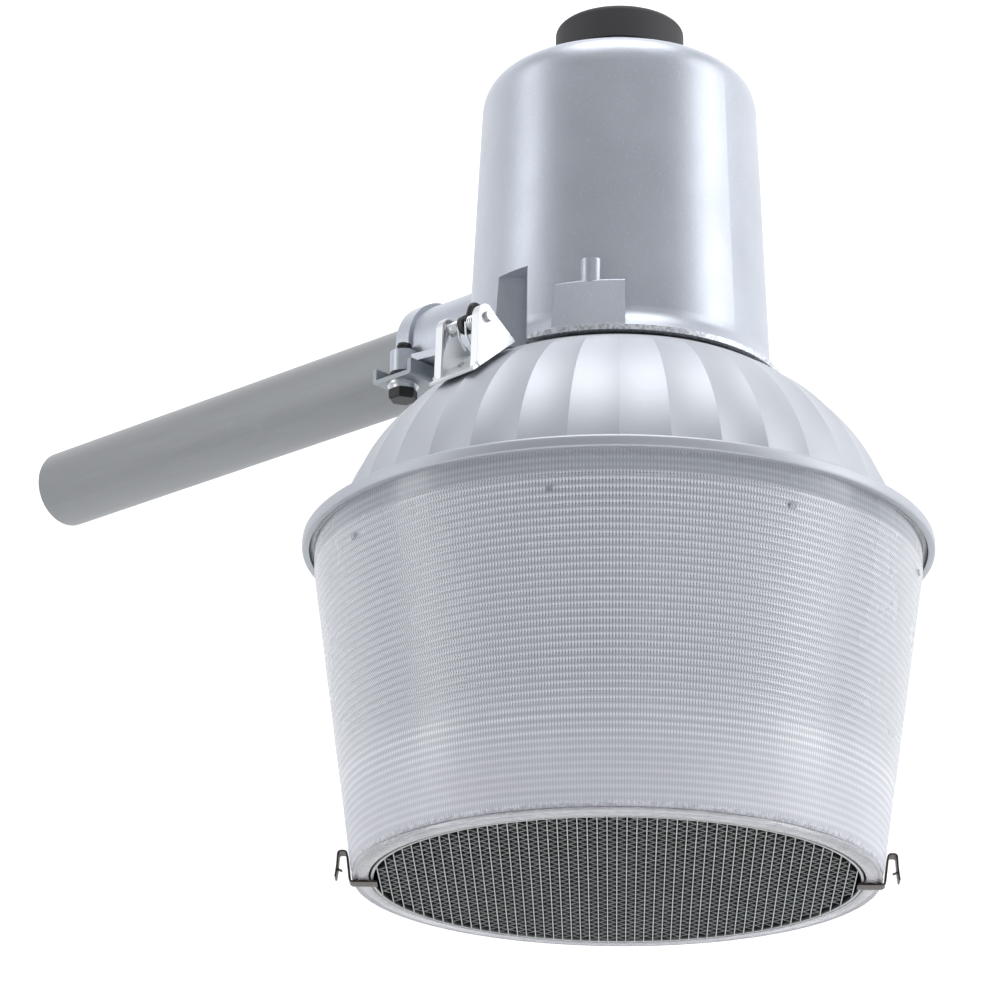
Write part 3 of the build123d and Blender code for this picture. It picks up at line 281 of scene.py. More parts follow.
class Finish:
    """One material: a Principled shader with fixed values, and the nodes that vary it."""

    def __init__(self, name, **fixed):
        self.material = bpy.data.materials.new(name)
        self.material.use_nodes = True
        self.tree = self.material.node_tree
        self.tree.nodes.clear()
        values = {key.replace("_", " "): value for key, value in fixed.items()}
        surface = self.node("ShaderNodeBsdfPrincipled", {}, values)
        self.shader = surface.socket.node
        self.node("ShaderNodeOutputMaterial", {}, {"Surface": surface}, None)

    def node(self, kind, settings, sockets, output=0):
        """Add a node: its settings first, then its sockets' values or links."""
        made = self.tree.nodes.new(kind)
        for key, value in settings.items():
            if key == "stops":
                self.set_stops(made.color_ramp, value)
            else:
                setattr(made, key, value)
        for key, value in sockets.items():
            self.join(value, made.inputs[key])
        return None if output is None else Line(self, made.outputs[output])

    def set_stops(self, ramp, stops):
        """Give a ramp its stops, as pairs of place and colour."""
        while len(ramp.elements) < len(stops):
            ramp.elements.new(0.5)
        for element, (place, shade) in zip(ramp.elements, stops):
            element.position = place
            element.color = shade

    def join(self, value, socket):
        """Link a line to a socket, or set the socket's own value."""
        if isinstance(value, Line):
            self.tree.links.new(value.socket, socket)
        else:
            socket.default_value = value

    def feed(self, **lines):
        """Feed the shader's inputs, by name with _ for each space."""
        for key, line in lines.items():
            self.join(line, self.shader.inputs[key.replace("_", " ")])
        return self

    def place(self):
        """Position on the object, in the row frame."""
        return self.node("ShaderNodeTexCoord", {}, {}, "Object")

    def from_axis(self):
        """Position from the lamp's axis."""
        return self.node("ShaderNodeVectorMath", {"operation": "SUBTRACT"},
                         {0: self.place(), 1: (AXIS.x, AXIS.y, 0)})

    def parts(self, vector):
        """A vector's three numbers."""
        x = self.node("ShaderNodeSeparateXYZ", {}, {0: vector}, "X")
        return x, x.output("Y"), x.output("Z")

    def stretch(self, vector, scale):
        """A vector with its directions scaled apart."""
        return self.node("ShaderNodeVectorMath", {"operation": "MULTIPLY"}, {0: vector, 1: scale})

    def noise(self, scale, detail=2.0, roughness=0.5, vector=None):
        """Noise from 0 to 1; scale is in features for each metre."""
        return self.node("ShaderNodeTexNoise", {},
                         {"Vector": vector or self.place(), "Scale": scale,
                          "Detail": detail, "Roughness": roughness})

    def rise(self, value, low, high):
        """A smooth step of a value, from 0 at one mark to 1 at the other."""
        return self.node("ShaderNodeMapRange", {"interpolation_type": "SMOOTHSTEP"},
                         {"Value": value, "From Min": low, "From Max": high})

    def blend(self, factor, first, second):
        """Two colours mixed."""
        return self.node("ShaderNodeMix", {"data_type": "RGBA"},
                         {MIX_FACTOR: factor, MIX_A: first, MIX_B: second}, MIX_COLOUR)

    def bump(self, height, depth, strength=1.0):
        """A normal from a height from 0 to 1 and its depth in metres."""
        return self.node("ShaderNodeBump", {},
                         {"Strength": strength, "Distance": depth, "Height": height}, "Normal")


def tone(shade, factor):
    """A colour made lighter or darker."""
    return tuple(min(1.0, part * factor) for part in shade[:3]) + (1.0,)


def enamel(name, shade, worn):
    """Satin aluminium enamel: orange peel, a mottled sheen and bare edges low on the casting."""
    mottle = 0.10
    made = Finish(name, IOR=1.5, Specular_IOR_Level=0.5)
    cloud = made.noise(22, 3, 0.55)
    grain = made.noise(900, 2, 0.6)
    base = made.blend(cloud, tone(shade, 1 - mottle), tone(shade, 1 + mottle))
    fleck = made.rise(grain, 0.56, 0.74)
    base = made.blend(fleck * 0.35, base, tone(shade, 1.45))
    height = made.parts(made.place())[2]
    ragged = made.noise(420, 3, 0.65) * 2.4 * MM + (LIP_Z + 0.4 * MM)
    edge = made.rise(height - ragged, 2.2 * MM, 0.2 * MM)
    base = made.blend(edge * made.rise(made.noise(650, 2), 0.35, 0.62), base, worn)
    peel = made.noise(520, 2, 0.5) * 0.6 + made.noise(120, 2, 0.5) * 0.4
    rough = 0.36 + made.noise(60, 2) * 0.10 + fleck * 0.05
    return made.feed(Base_Color=base, Metallic=0.55 + cloud * 0.08, Roughness=rough,
                     Normal=made.bump(peel, 0.10 * MM, 0.55)).material


def pipe_enamel(name, shade):
    """Satin enamel drawn along the pipe, with faint scuffs."""
    made = Finish(name, IOR=1.5)
    along = made.stretch(made.place(), (0.06, 1, 1))
    streak = made.noise(420, 3, 0.6, along)
    scuff = made.rise(made.noise(75, 4, 0.65, made.stretch(made.place(), (0.35, 1, 1))), 0.62, 0.74)
    base = made.blend(streak, tone(shade, 0.90), tone(shade, 1.10))
    base = made.blend(scuff * 0.25, base, tone(shade, 1.35))
    return made.feed(Base_Color=base, Metallic=0.45 + scuff * 0.1, Roughness=0.40 + streak * 0.12,
                     Normal=made.bump(made.noise(600, 2) + streak * 0.3, 0.06 * MM, 0.5)).material


def bright_sheet(name, shade, grain=1.0, roughness=0.46):
    """Hydroformed aluminium: faint rings of drawing marks, light handling marks."""
    made = Finish(name, IOR=1.45)
    x, y, z = made.parts(made.from_axis())
    radius = (x * x + y * y) ** 0.5
    drawn = made.node("ShaderNodeCombineXYZ", {}, {0: radius, 1: z, 2: x * 0.03})
    lines = made.noise(900, 2, 0.6, drawn)
    cloud = made.noise(16, 3, 0.5)
    base = made.blend(cloud, tone(shade, 0.93), tone(shade, 1.05))
    base = made.blend(made.rise(made.noise(260, 4, 0.7), 0.66, 0.80) * 0.2, base, tone(shade, 0.72))
    return made.feed(Base_Color=base, Metallic=0.55 + cloud * 0.1,
                     Roughness=roughness + lines * 0.08 * grain + cloud * 0.06,
                     Normal=made.bump(lines * 0.5 + made.noise(340, 2) * 0.5,
                                      0.05 * MM * grain, 0.5)).material


def plated(name, shade, roughness=0.28, spangle=0.0, metallic=0.85):
    """Zinc plate or galvanising: fine grain, and spangle for the hot-dipped kind."""
    made = Finish(name, IOR=1.5)
    grain = made.noise(1500, 2, 0.6)
    cloud = made.noise(90, 3, 0.6)
    base = made.blend(cloud, tone(shade, 0.82), tone(shade, 1.12))
    rough = roughness + grain * 0.10 + cloud * 0.10
    if spangle:
        cells = made.node("ShaderNodeTexVoronoi", {"feature": "F1"},
                          {"Vector": made.place(), "Scale": 330.0}, "Color")
        tint = made.node("ShaderNodeSeparateColor", {}, {0: cells})
        base = made.blend(tint * spangle, base, tone(shade, 1.55))
        rough = rough + tint * 0.12
    return made.feed(Base_Color=base, Metallic=metallic + grain * 0.08, Roughness=rough,
                     Normal=made.bump(grain * 0.4 + cloud * 0.6, 0.05 * MM, 0.5)).material


def dark_steel(name, shade, roughness=0.42, rub=0.10):
    """Black-oxide or painted steel, worn a little on its faces."""
    made = Finish(name, IOR=1.5)
    cloud = made.noise(260, 3, 0.6)
    base = made.blend(made.rise(cloud, 0.5, 0.75) * rub * 4, shade, tone(shade, 2.6))
    return made.feed(Base_Color=base, Metallic=0.35 + cloud * 0.1,
                     Roughness=roughness + cloud * 0.14,
                     Normal=made.bump(made.noise(1100, 2), 0.05 * MM, 0.5)).material


def louver_enamel(name, shade, edge_glint):
    """Black enamel on thin strips, with a painted highlight along their lower edges."""
    made = Finish(name, IOR=1.5)
    height = made.parts(made.place())[2]
    # Painted highlight: a ragged band along the strips' lower edges is blended to the glint colour,
    # standing in for light caught on those edges.
    ragged = made.noise(380, 3, 0.6) * 1.6 * MM
    edge = made.rise(height - ragged, LOUVER_FOOT_Z + 0.7 * MM, LOUVER_FOOT_Z - 0.9 * MM)
    cloud = made.noise(60, 3, 0.6)
    base = made.blend(cloud, shade, tone(shade, 2.2))
    base = made.blend(edge * (0.45 + cloud * 0.6), base, edge_glint)
    return made.feed(Base_Color=base, Metallic=0.2 + edge * 0.3, Roughness=0.26 + cloud * 0.14,
                     Normal=made.bump(made.noise(700, 2), 0.08 * MM, 0.6)).material


def moulded(name, shade, roughness=0.38, texture=0.08):
    """Moulded plastic or rubber with a fine spark texture."""
    made = Finish(name, IOR=1.5)
    cloud = made.noise(70, 3, 0.6)
    pit = made.noise(1400, 2, 0.6)
    base = made.blend(cloud, tone(shade, 0.8), tone(shade, 1.35))
    return made.feed(Base_Color=base, Roughness=roughness + pit * 0.10 + cloud * 0.06,
                     Normal=made.bump(pit, texture * MM, 0.6)).material


def glazed(name, shade):
    """Glazed porcelain with a few specks."""
    made = Finish(name, IOR=1.55, Coat_Roughness=0.06)
    speck = made.rise(made.noise(700, 2, 0.6), 0.70, 0.76)
    cloud = made.noise(40, 2)
    base = made.blend(cloud, tone(shade, 0.94), shade)
    base = made.blend(speck * 0.5, base, tone(shade, 0.5))
    return made.feed(Base_Color=base, Roughness=0.22 + cloud * 0.08, Coat_Weight=0.6 + cloud * 0.2,
                     Normal=made.bump(made.noise(160, 2), 0.08 * MM, 0.4)).material


def wound(name, shade):
    """Varnished copper winding: turns of wire lying level, with painted shade between the turns."""
    made = Finish(name, IOR=1.5, Coat_Roughness=0.15)
    height = made.parts(made.place())[2]
    turn = height.math("SINE", height * (TURN / (1.1 * MM))) * 0.5 + 0.5
    # Painted shade: the troughs between the turns are darkened.
    base = made.blend(turn, tone(shade, 0.45), shade)
    return made.feed(Base_Color=base, Metallic=0.5 + turn * 0.3,
                     Roughness=0.34 + made.noise(200, 2) * 0.1, Coat_Weight=0.3 + turn * 0.2,
                     Normal=made.bump(turn, 0.3 * MM, 0.8)).material


def laminated(name, shade):
    """Varnished core laminations, stacked along Y."""
    made = Finish(name, IOR=1.5)
    across = made.parts(made.place())[1]
    edge = across.math("SINE", across * (TURN / (0.9 * MM))) * 0.5 + 0.5
    cloud = made.noise(120, 3)
    base = made.blend(edge * 0.6 + cloud * 0.4, tone(shade, 0.7), tone(shade, 1.3))
    return made.feed(Base_Color=base, Metallic=0.4 + cloud * 0.2, Roughness=0.40 + edge * 0.15,
                     Normal=made.bump(edge, 0.12 * MM, 0.6)).material


def clear_glass(name, shade):
    """Clear glass with faint waviness."""
    made = Finish(name, IOR=1.46, Transmission_Weight=1.0)
    cloud = made.noise(60, 2)
    base = made.blend(cloud, tone(shade, 0.97), shade)
    return made.feed(Base_Color=base, Roughness=0.02 + cloud * 0.03,
                     Normal=made.bump(cloud, 0.05 * MM, 0.3)).material


def prismatic(name, colours, sizes):
    """Moulded refractor: upright ribs all round, frosted at its foot, with painted shade in the
    grooves between ribs and prisms and painted highlights on their crests.
    """
    made = Finish(name, IOR=1.49, Transmission_Weight=0.04, Specular_IOR_Level=0.6,
                  Coat_Roughness=0.12)
    x, y, z = made.parts(made.from_axis())
    around = x.math("ARCTAN2", y, x)
    height = z - MOUTH_Z
    rib = around.math("SINE", around * float(sizes.ribs)) * 0.5 + 0.5
    ring = height.math("SINE", height * (TURN / sizes.ring_pitch)) * 0.5 + 0.5
    frost = made.rise(height, sizes.plain_height * 1.55, sizes.plain_height * 0.35)
    cloud = made.noise(26, 3, 0.55)
    speck = made.noise(700, 2, 0.6)
    # Painted shade: the grooves between the ribs and between the prisms are darkened.
    groove = made.rise(rib, 0.42, 0.06)
    base = made.blend(frost, colours.bowl, colours.bowl_frost)
    base = made.blend(cloud * 0.5, base, tone(colours.bowl, 1.12))
    base = made.blend(groove * (0.92 - frost * 0.62), base, colours.bowl_shade_and_dots)
    base = made.blend((1 - ring) * (0.58 - frost * 0.36), base, colours.bowl_shade_and_dots)
    # Painted highlight: the crests of the ribs and prisms are blended to near white.
    crest = made.rise(rib * ring, 0.55, 0.95)
    base = made.blend(crest * (0.9 - frost * 0.65), base, (0.97, 0.98, 1.0, 1))
    # Painted shade: the upright band under the reflector's rim is darkened.
    band_z = REFRACTOR_TOP_Z - sizes.flange - sizes.band_foot
    under_rim_shade = made.rise(z, band_z - 1.0 * MM, band_z + 1.5 * MM)
    base = made.blend(under_rim_shade * 0.72, base, colours.bowl_shade_and_dots)
    dots = made.rise(made.noise(520, 2, 0.6), 0.40, 0.62) * made.rise(height, 6.5 * MM, 3.5 * MM)
    base = made.blend(dots * 0.55, base, tone(colours.bowl_shade_and_dots, 0.9))
    relief = rib * (0.35 - frost * 0.25) + speck * frost * 0.3
    return made.feed(Base_Color=base, Roughness=0.24 + frost * 0.26 + cloud * 0.06,
                     Coat_Weight=0.35 - frost * 0.25,
                     Normal=made.bump(relief, 0.16 * MM, 0.5)).material


def clear_moulding(name, shade):
    """The refractor's clear lip and edges, a little frosted."""
    made = Finish(name, IOR=1.49, Transmission_Weight=0.72)
    cloud = made.noise(240, 3, 0.6)
    base = made.blend(cloud, tone(shade, 0.92), (0.97, 0.97, 1.0, 1))
    return made.feed(Base_Color=base, Roughness=0.10 + cloud * 0.22,
                     Normal=made.bump(cloud, 0.25 * MM, 0.6)).material


# ---------------------------------------------------------------- mesh making
def add_piece(name, solid, materials, body, replaces, crease=35.0, soft_edge=0.0,
              face_slots=None):
    """Make a mesh piece, give it its materials and put it on its CAD body."""
    points, faces = solid
    mesh = bpy.data.meshes.new(name)
    mesh.from_pydata([tuple(point) for point in points], [], [tuple(face) for face in faces])
    for material in materials:
        mesh.materials.append(material)
    if face_slots is not None:
        mesh.polygons.foreach_set("material_index", np.asarray(face_slots, dtype=np.int32))
    work = bmesh.new()
    work.from_mesh(mesh)
    bmesh.ops.recalc_face_normals(work, faces=work.faces)
    work.to_mesh(mesh)
    work.free()
    mesh.shade_smooth()
    mesh.set_sharp_from_angle(angle=math.radians(crease))
    piece = bpy.data.objects.new(name, mesh)
    bpy.context.scene.collection.objects.link(piece)
    if soft_edge:
        bevel = piece.modifiers.new("soft_edges", "BEVEL")
        bevel.width = soft_edge
        bevel.segments = 2
        bevel.limit_method = "ANGLE"
        bevel.angle_limit = math.radians(30)
        bevel.harden_normals = True
    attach(piece, body)
    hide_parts(*replaces)


def turned(radii, heights, angles):
    """Points of a ring-shaped skin: one row for each place round its section."""
    x = AXIS.x + radii * np.cos(angles)[None, :]
    y = AXIS.y + radii * np.sin(angles)[None, :]
    return np.stack([x, y, heights], axis=2).reshape(-1, 3)


def ring_faces(rows, columns):
    """Faces of a skin that closes on itself both ways, one row of faces after the other."""
    faces = []
    for row in range(rows):
        here, after = row * columns, (row + 1) % rows * columns
        for column in range(columns):
            right = (column + 1) % columns
            faces.append((here + column, here + right, after + right, after + column))
    return faces


def tube_faces(rows, sides):
    """Side faces between rings of points, from one ring to the next."""
    return [(row * sides + step, row * sides + (step + 1) % sides,
             (row + 1) * sides + (step + 1) % sides, (row + 1) * sides + step)
            for row in range(rows) for step in range(sides)]


def capped_faces(rows, sides):
    """Side faces between rings of points, and a face over each end."""
    last = rows * sides
    ends = [tuple(reversed(range(sides))), tuple(range(last, last + sides))]
    return tube_faces(rows, sides) + ends


def rounded(path, radius, steps):
    """A 2D path with its corners turned into arcs."""
    points = [Vector(point) for point in path]
    made = [points[0]]
    for before, corner, after in zip(points, points[1:], points[2:]):
        to_before, to_after = (before - corner), (after - corner)
        reach = min(radius, to_before.length * 0.45, to_after.length * 0.45)
        start = corner + to_before.normalized() * reach
        end = corner + to_after.normalized() * reach
        for step in range(steps + 1):
            share = step / steps
            made.append(start * (1 - share) ** 2 + corner * (2 * share * (1 - share))
                        + end * share ** 2)
    made.append(points[-1])
    return made


def ribbon(path, thickness, low, high, put):
    """A strip along a 2D path: low and high bound its width, and put places each point."""
    points = []
    for index, here in enumerate(path):
        before = path[max(index - 1, 0)]
        after = path[min(index + 1, len(path) - 1)]
        into = (here - before).normalized() if index else (after - here).normalized()
        out = (after - here).normalized() if index < len(path) - 1 else into
        along = (into + out).normalized()
        side = Vector((-along.y, along.x))
        spread = thickness / 2 / max(0.35, side.dot(Vector((-into.y, into.x))))
        for offset, width in ((-spread, low), (spread, low), (spread, high), (-spread, high)):
            spot = here + side * offset
            points.append(put(spot.x, spot.y, width))
    return points, capped_faces(len(path) - 1, 4)


def gather(solids):
    """Several sets of points and faces as one."""
    points, faces = [], []
    for more_points, more_faces in solids:
        shift = len(points)
        points += list(more_points)
        faces += [tuple(index + shift for index in face) for face in more_faces]
    return points, faces


def wire(path, radius, sides):
    """Points and faces of a round wire along a 3D path."""
    points = []
    path = [Vector(point) for point in path]
    along = (path[1] - path[0]).normalized()
    side = along.orthogonal().normalized()
    for index, here in enumerate(path):
        after = path[min(index + 1, len(path) - 1)] - path[max(index - 1, 0)]
        along = after.normalized()
        side = (side - along * side.dot(along)).normalized()
        up = along.cross(side)
        for step in range(sides):
            turn = TURN * step / sides
            points.append(here + (side * math.cos(turn) + up * math.sin(turn)) * radius)
    return points, capped_faces(len(path) - 1, sides)


def plate(outline, low, high, put):
    """Points and faces of a flat plate with a 2D outline."""
    total = len(outline)
    points = [put(u, v, low) for u, v in outline] + [put(u, v, high) for u, v in outline]
    faces = [tuple(range(total)), tuple(range(2 * total - 1, total - 1, -1))]
    faces += [(i, (i + 1) % total, (i + 1) % total + total, i + total) for i in range(total)]
    return points, faces


def upright(turn):
    """A function that places (radius, height, sideways) at an angle about the lamp's axis."""
    out = Vector((math.cos(turn), math.sin(turn), 0))
    across = Vector((math.sin(turn), -math.cos(turn), 0))
    origin = Vector((AXIS.x, AXIS.y, 0))
    return lambda radius, height, sideways: (origin + out * radius + across * sideways
                                             + Vector((0, 0, height)))


def finish_node(node, material):
    """Give a CAD node that keeps its shape its finish."""
    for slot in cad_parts[node].material_slots:
        slot.material = material


def shared(name, make, *values):
    """A finish made once and used by several pieces."""
    return bpy.data.materials.get(name) or make(name, *values)


def zinc_plate():
    """Bright zinc plate of the fasteners and brackets."""
    return shared("zinc_plate", plated, bpy.context.scene.lamp_colours.zinc)


def brass():
    """Brass of the contacts and the lamp's base."""
    return shared("brass", plated, (0.75, 0.58, 0.28, 1), 0.24)


def black_moulding():
    """Black moulding of the receptacle and the gear's cases."""
    return shared("black_moulding", moulded, bpy.context.scene.lamp_colours.moulding, 0.26)


def pale_sponge():
    """Pale sponge of the gaskets."""
    return shared("pale_sponge", moulded, (0.55, 0.55, 0.53, 1), 0.7, 0.3)


# ---------------------------------------------------------------- operators
class LAMP_OT_castings(bpy.types.Operator):
    """Paint the housing and the arm."""
    bl_idname = "lamp.castings"
    bl_label = "Housing and arm"

    def execute(self, context):
        colours = context.scene.lamp_colours
        finish_node("housing", enamel("cast_enamel", colours.enamel, colours.enamel_worn))
        finish_node("arm_tube", pipe_enamel("pipe_enamel", colours.arm))
        return {"FINISHED"}


class LAMP_OT_reflector(bpy.types.Operator):
    """Form the fluted reflector with its rolled rim band."""
    bl_idname = "lamp.reflector"
    bl_label = "Fluted reflector"

    def section(self, sizes):
        """Rows of (radius, height, outward normal, flute share) round the sheet's section."""
        rim_z = BAND_FOOT_Z + sizes.band_height + sizes.sheet
        rise, run = CREST_Z - rim_z, sizes.foot_radius - sizes.crest_radius
        chord, arc = math.hypot(rise, run), sizes.curve
        reach = math.sqrt(arc ** 2 - (chord / 2) ** 2)
        centre_radius = (sizes.crest_radius + sizes.foot_radius) / 2 - reach * rise / chord
        centre_z = CREST_Z - rise / 2 - reach * run / chord
        top_angle = math.asin((CREST_Z - centre_z) / arc)
        foot_angle = math.asin((rim_z - centre_z) / arc)
        outer = [(sizes.opening + 0.1 * MM, CREST_Z, (0, 1), 0.0)]
        for share in np.linspace(0, 1, DOME_ROWS):
            turn = top_angle + (foot_angle - top_angle) * share
            normal = (math.cos(turn), math.sin(turn))
            radius = centre_radius + arc * normal[0]
            fade = min(1.0, max(0.0, (share - 0.03) / 0.16))
            flute = fade * fade * (3 - 2 * fade) * (0.55 + 0.45 * share)
            outer.append((radius, centre_z + arc * normal[1], normal, flute))
        inner = [(radius - normal[0] * sizes.sheet, z - normal[1] * sizes.sheet, normal, flute)
                 for radius, z, normal, flute in reversed(outer)]
        edge = sizes.rim_edge
        flat = [(sizes.foot_radius + 0.5 * MM, rim_z, (0, 0), 0.0)]
        corner = []
        for centre, start in ((rim_z - edge, 90), (BAND_FOOT_Z + edge * 0.5, 0)):
            reach = edge if start else edge * 0.5
            for step in range(CORNER_ROWS + 1):
                turn = math.radians(start - 90 * step / CORNER_ROWS)
                corner.append((RIM_RADIUS - reach + reach * math.cos(turn),
                               centre + reach * math.sin(turn), (0, 0), 0.0))
        back = RIM_RADIUS - sizes.band_thickness
        under = [(back, BAND_FOOT_Z, (0, 0), 0.0), (back, rim_z - sizes.sheet, (0, 0), 0.0),
                 (sizes.foot_radius - sizes.sheet * 0.5, rim_z - sizes.sheet, (0, 0), 0.0)]
        throat = [(sizes.opening, CREST_Z - sizes.sheet, (0, 1), 0.0),
                  (sizes.opening, CREST_Z, (0, 1), 0.0)]
        return outer + flat + corner + under + inner + throat

    def execute(self, context):
        sizes, colours = context.scene.lamp_reflector, context.scene.lamp_colours
        total = sizes.flutes * FLUTE_COLUMNS
        angles = sizes.first_ridge + TURN * np.arange(total) / total
        phase = np.arange(total) % FLUTE_COLUMNS / FLUTE_COLUMNS
        hollow = 4 * phase * (1 - phase) * sizes.flute_depth
        rows = self.section(sizes)
        radii = np.array([r - hollow * n[0] * f for r, z, n, f in rows])
        heights = np.array([z - hollow * n[1] * f for r, z, n, f in rows])
        solid = turned(radii, heights, angles), ring_faces(len(rows), total)
        add_piece("reflector_dome", solid, [bright_sheet("bright_sheet", colours.sheet)],
                  "reflector", ["reflector"], crease=14)
        return {"FINISHED"}


class LAMP_OT_refractor(bpy.types.Operator):
    """Mould the prismatic refractor with its ribs, prisms, lugs and lip."""
    bl_idname = "lamp.refractor"
    bl_label = "Prismatic refractor"

    def section(self, sizes, wall, rise):
        """Rows of (radius, height, material) round the wall's section: prisms 0, clear edges 1."""
        band = FLANGE_RADIUS - sizes.flange_width
        flange_z = REFRACTOR_TOP_Z - sizes.flange
        band_foot = MOUTH_Z + rise
        inner_mouth = sizes.mouth - sizes.lip
        rows = [(inner_mouth, MOUTH_Z + sizes.lip_thickness, 1),
                (inner_mouth, MOUTH_Z + 0.5 * MM, 1),
                (inner_mouth + 0.5 * MM, MOUTH_Z, 1),
                (sizes.mouth - 3.2 * MM, MOUTH_Z, 1),
                (sizes.mouth - 2.6 * MM, MOUTH_Z + 0.5 * MM, 1),
                (sizes.mouth - 1.6 * MM, MOUTH_Z + 0.5 * MM, 1),
                (sizes.mouth - 1.0 * MM, MOUTH_Z, 1),
                (sizes.mouth - 0.4 * MM, MOUTH_Z + 0.1 * MM, 1),
                (wall(0), MOUTH_Z + 0.8 * MM, 1),
                (wall(0) + 0.2 * MM, MOUTH_Z + 2.0 * MM, 1),
                (wall(0) - 0.5 * MM, MOUTH_Z + 2.8 * MM, 0)]
        height = 5.0 * MM
        while height < rise - sizes.ring_pitch:
            fine = height > sizes.plain_height
            pitch = sizes.ring_pitch * (1.0 if fine else 1.7)
            above = (height - 0.55 * sizes.plain_height) / (0.8 * sizes.plain_height)
            depth = sizes.ring_depth * min(1.0, max(0.25, above))
            for share, cut in ((0.0, -1.0), (0.18, -0.25), (0.5, 0.15), (0.82, -0.25)):
                at = height + pitch * share
                rows.append((wall(at) + cut * depth, MOUTH_Z + at, 0))
            height += pitch
        rows += [(wall(rise) - 1.1 * MM, band_foot - 1.2 * MM, 0),
                 (band - 0.9 * MM, band_foot - 0.2 * MM, 0),
                 (band, band_foot + 0.6 * MM, 0),
                 (band, flange_z - 0.4 * MM, 0),
                 (band + 0.4 * MM, flange_z, 1),
                 (FLANGE_RADIUS - 0.3 * MM, flange_z, 1),
                 (FLANGE_RADIUS, flange_z + 0.3 * MM, 1),
                 (FLANGE_RADIUS, REFRACTOR_TOP_Z - 0.3 * MM, 1),
                 (FLANGE_RADIUS - 0.3 * MM, REFRACTOR_TOP_Z, 1),
                 (band - sizes.wall, REFRACTOR_TOP_Z, 1),
                 (band - sizes.wall, band_foot, 0)]
        for share in np.linspace(0.97, 0.02, BOWL_INSIDE_ROWS):
            rows.append((wall(rise * share) - sizes.wall, MOUTH_Z + rise * share, 0))
        rows.append((wall(0) - sizes.wall, MOUTH_Z + sizes.lip_thickness + 0.3 * MM, 1))
        rows.append((wall(0) - sizes.wall - 0.4 * MM, MOUTH_Z + sizes.lip_thickness, 1))
        return rows

    def execute(self, context):
        sizes, colours = context.scene.lamp_refractor, context.scene.lamp_colours
        band = FLANGE_RADIUS - sizes.flange_width
        rise = REFRACTOR_TOP_Z - sizes.flange - sizes.band_foot - MOUTH_Z

        def wall(height):
            return sizes.mouth + (band - sizes.mouth) * height / rise

        rows = self.section(sizes, wall, rise)
        angles = TURN * np.arange(BOWL_COLUMNS) / BOWL_COLUMNS
        radii, heights = (np.repeat(np.array([row[part] for row in rows])[:, None],
                                    BOWL_COLUMNS, axis=1) for part in (0, 1))
        solids = [(turned(radii, heights, angles), ring_faces(len(rows), BOWL_COLUMNS))]
        face_slots = np.repeat([row[2] for row in rows], BOWL_COLUMNS).tolist()
        lug_z = REFRACTOR_TOP_Z - sizes.lug_drop
        lug_radius = wall(lug_z - MOUTH_Z)
        half = sizes.lug / 2
        root, face = lug_radius - 1.5 * MM, lug_radius + 0.9 * MM
        outline = [(root, lug_z - half), (face, lug_z - half * 0.7),
                   (face, lug_z + half * 0.7), (root, lug_z + half)]
        for index in range(sizes.lugs):
            put = upright(sizes.first_lug + TURN * index / sizes.lugs)
            solids.append(plate(outline, -half, half, put))
            face_slots += [1] * len(solids[-1][1])
        materials = [prismatic("prismatic_bowl", colours, sizes),
                     clear_moulding("clear_lip", colours.bowl_frost)]
        add_piece("refractor_bowl", gather(solids), materials, "refractor",
                  ["refractor"], crease=60, face_slots=face_slots)
        return {"FINISHED"}


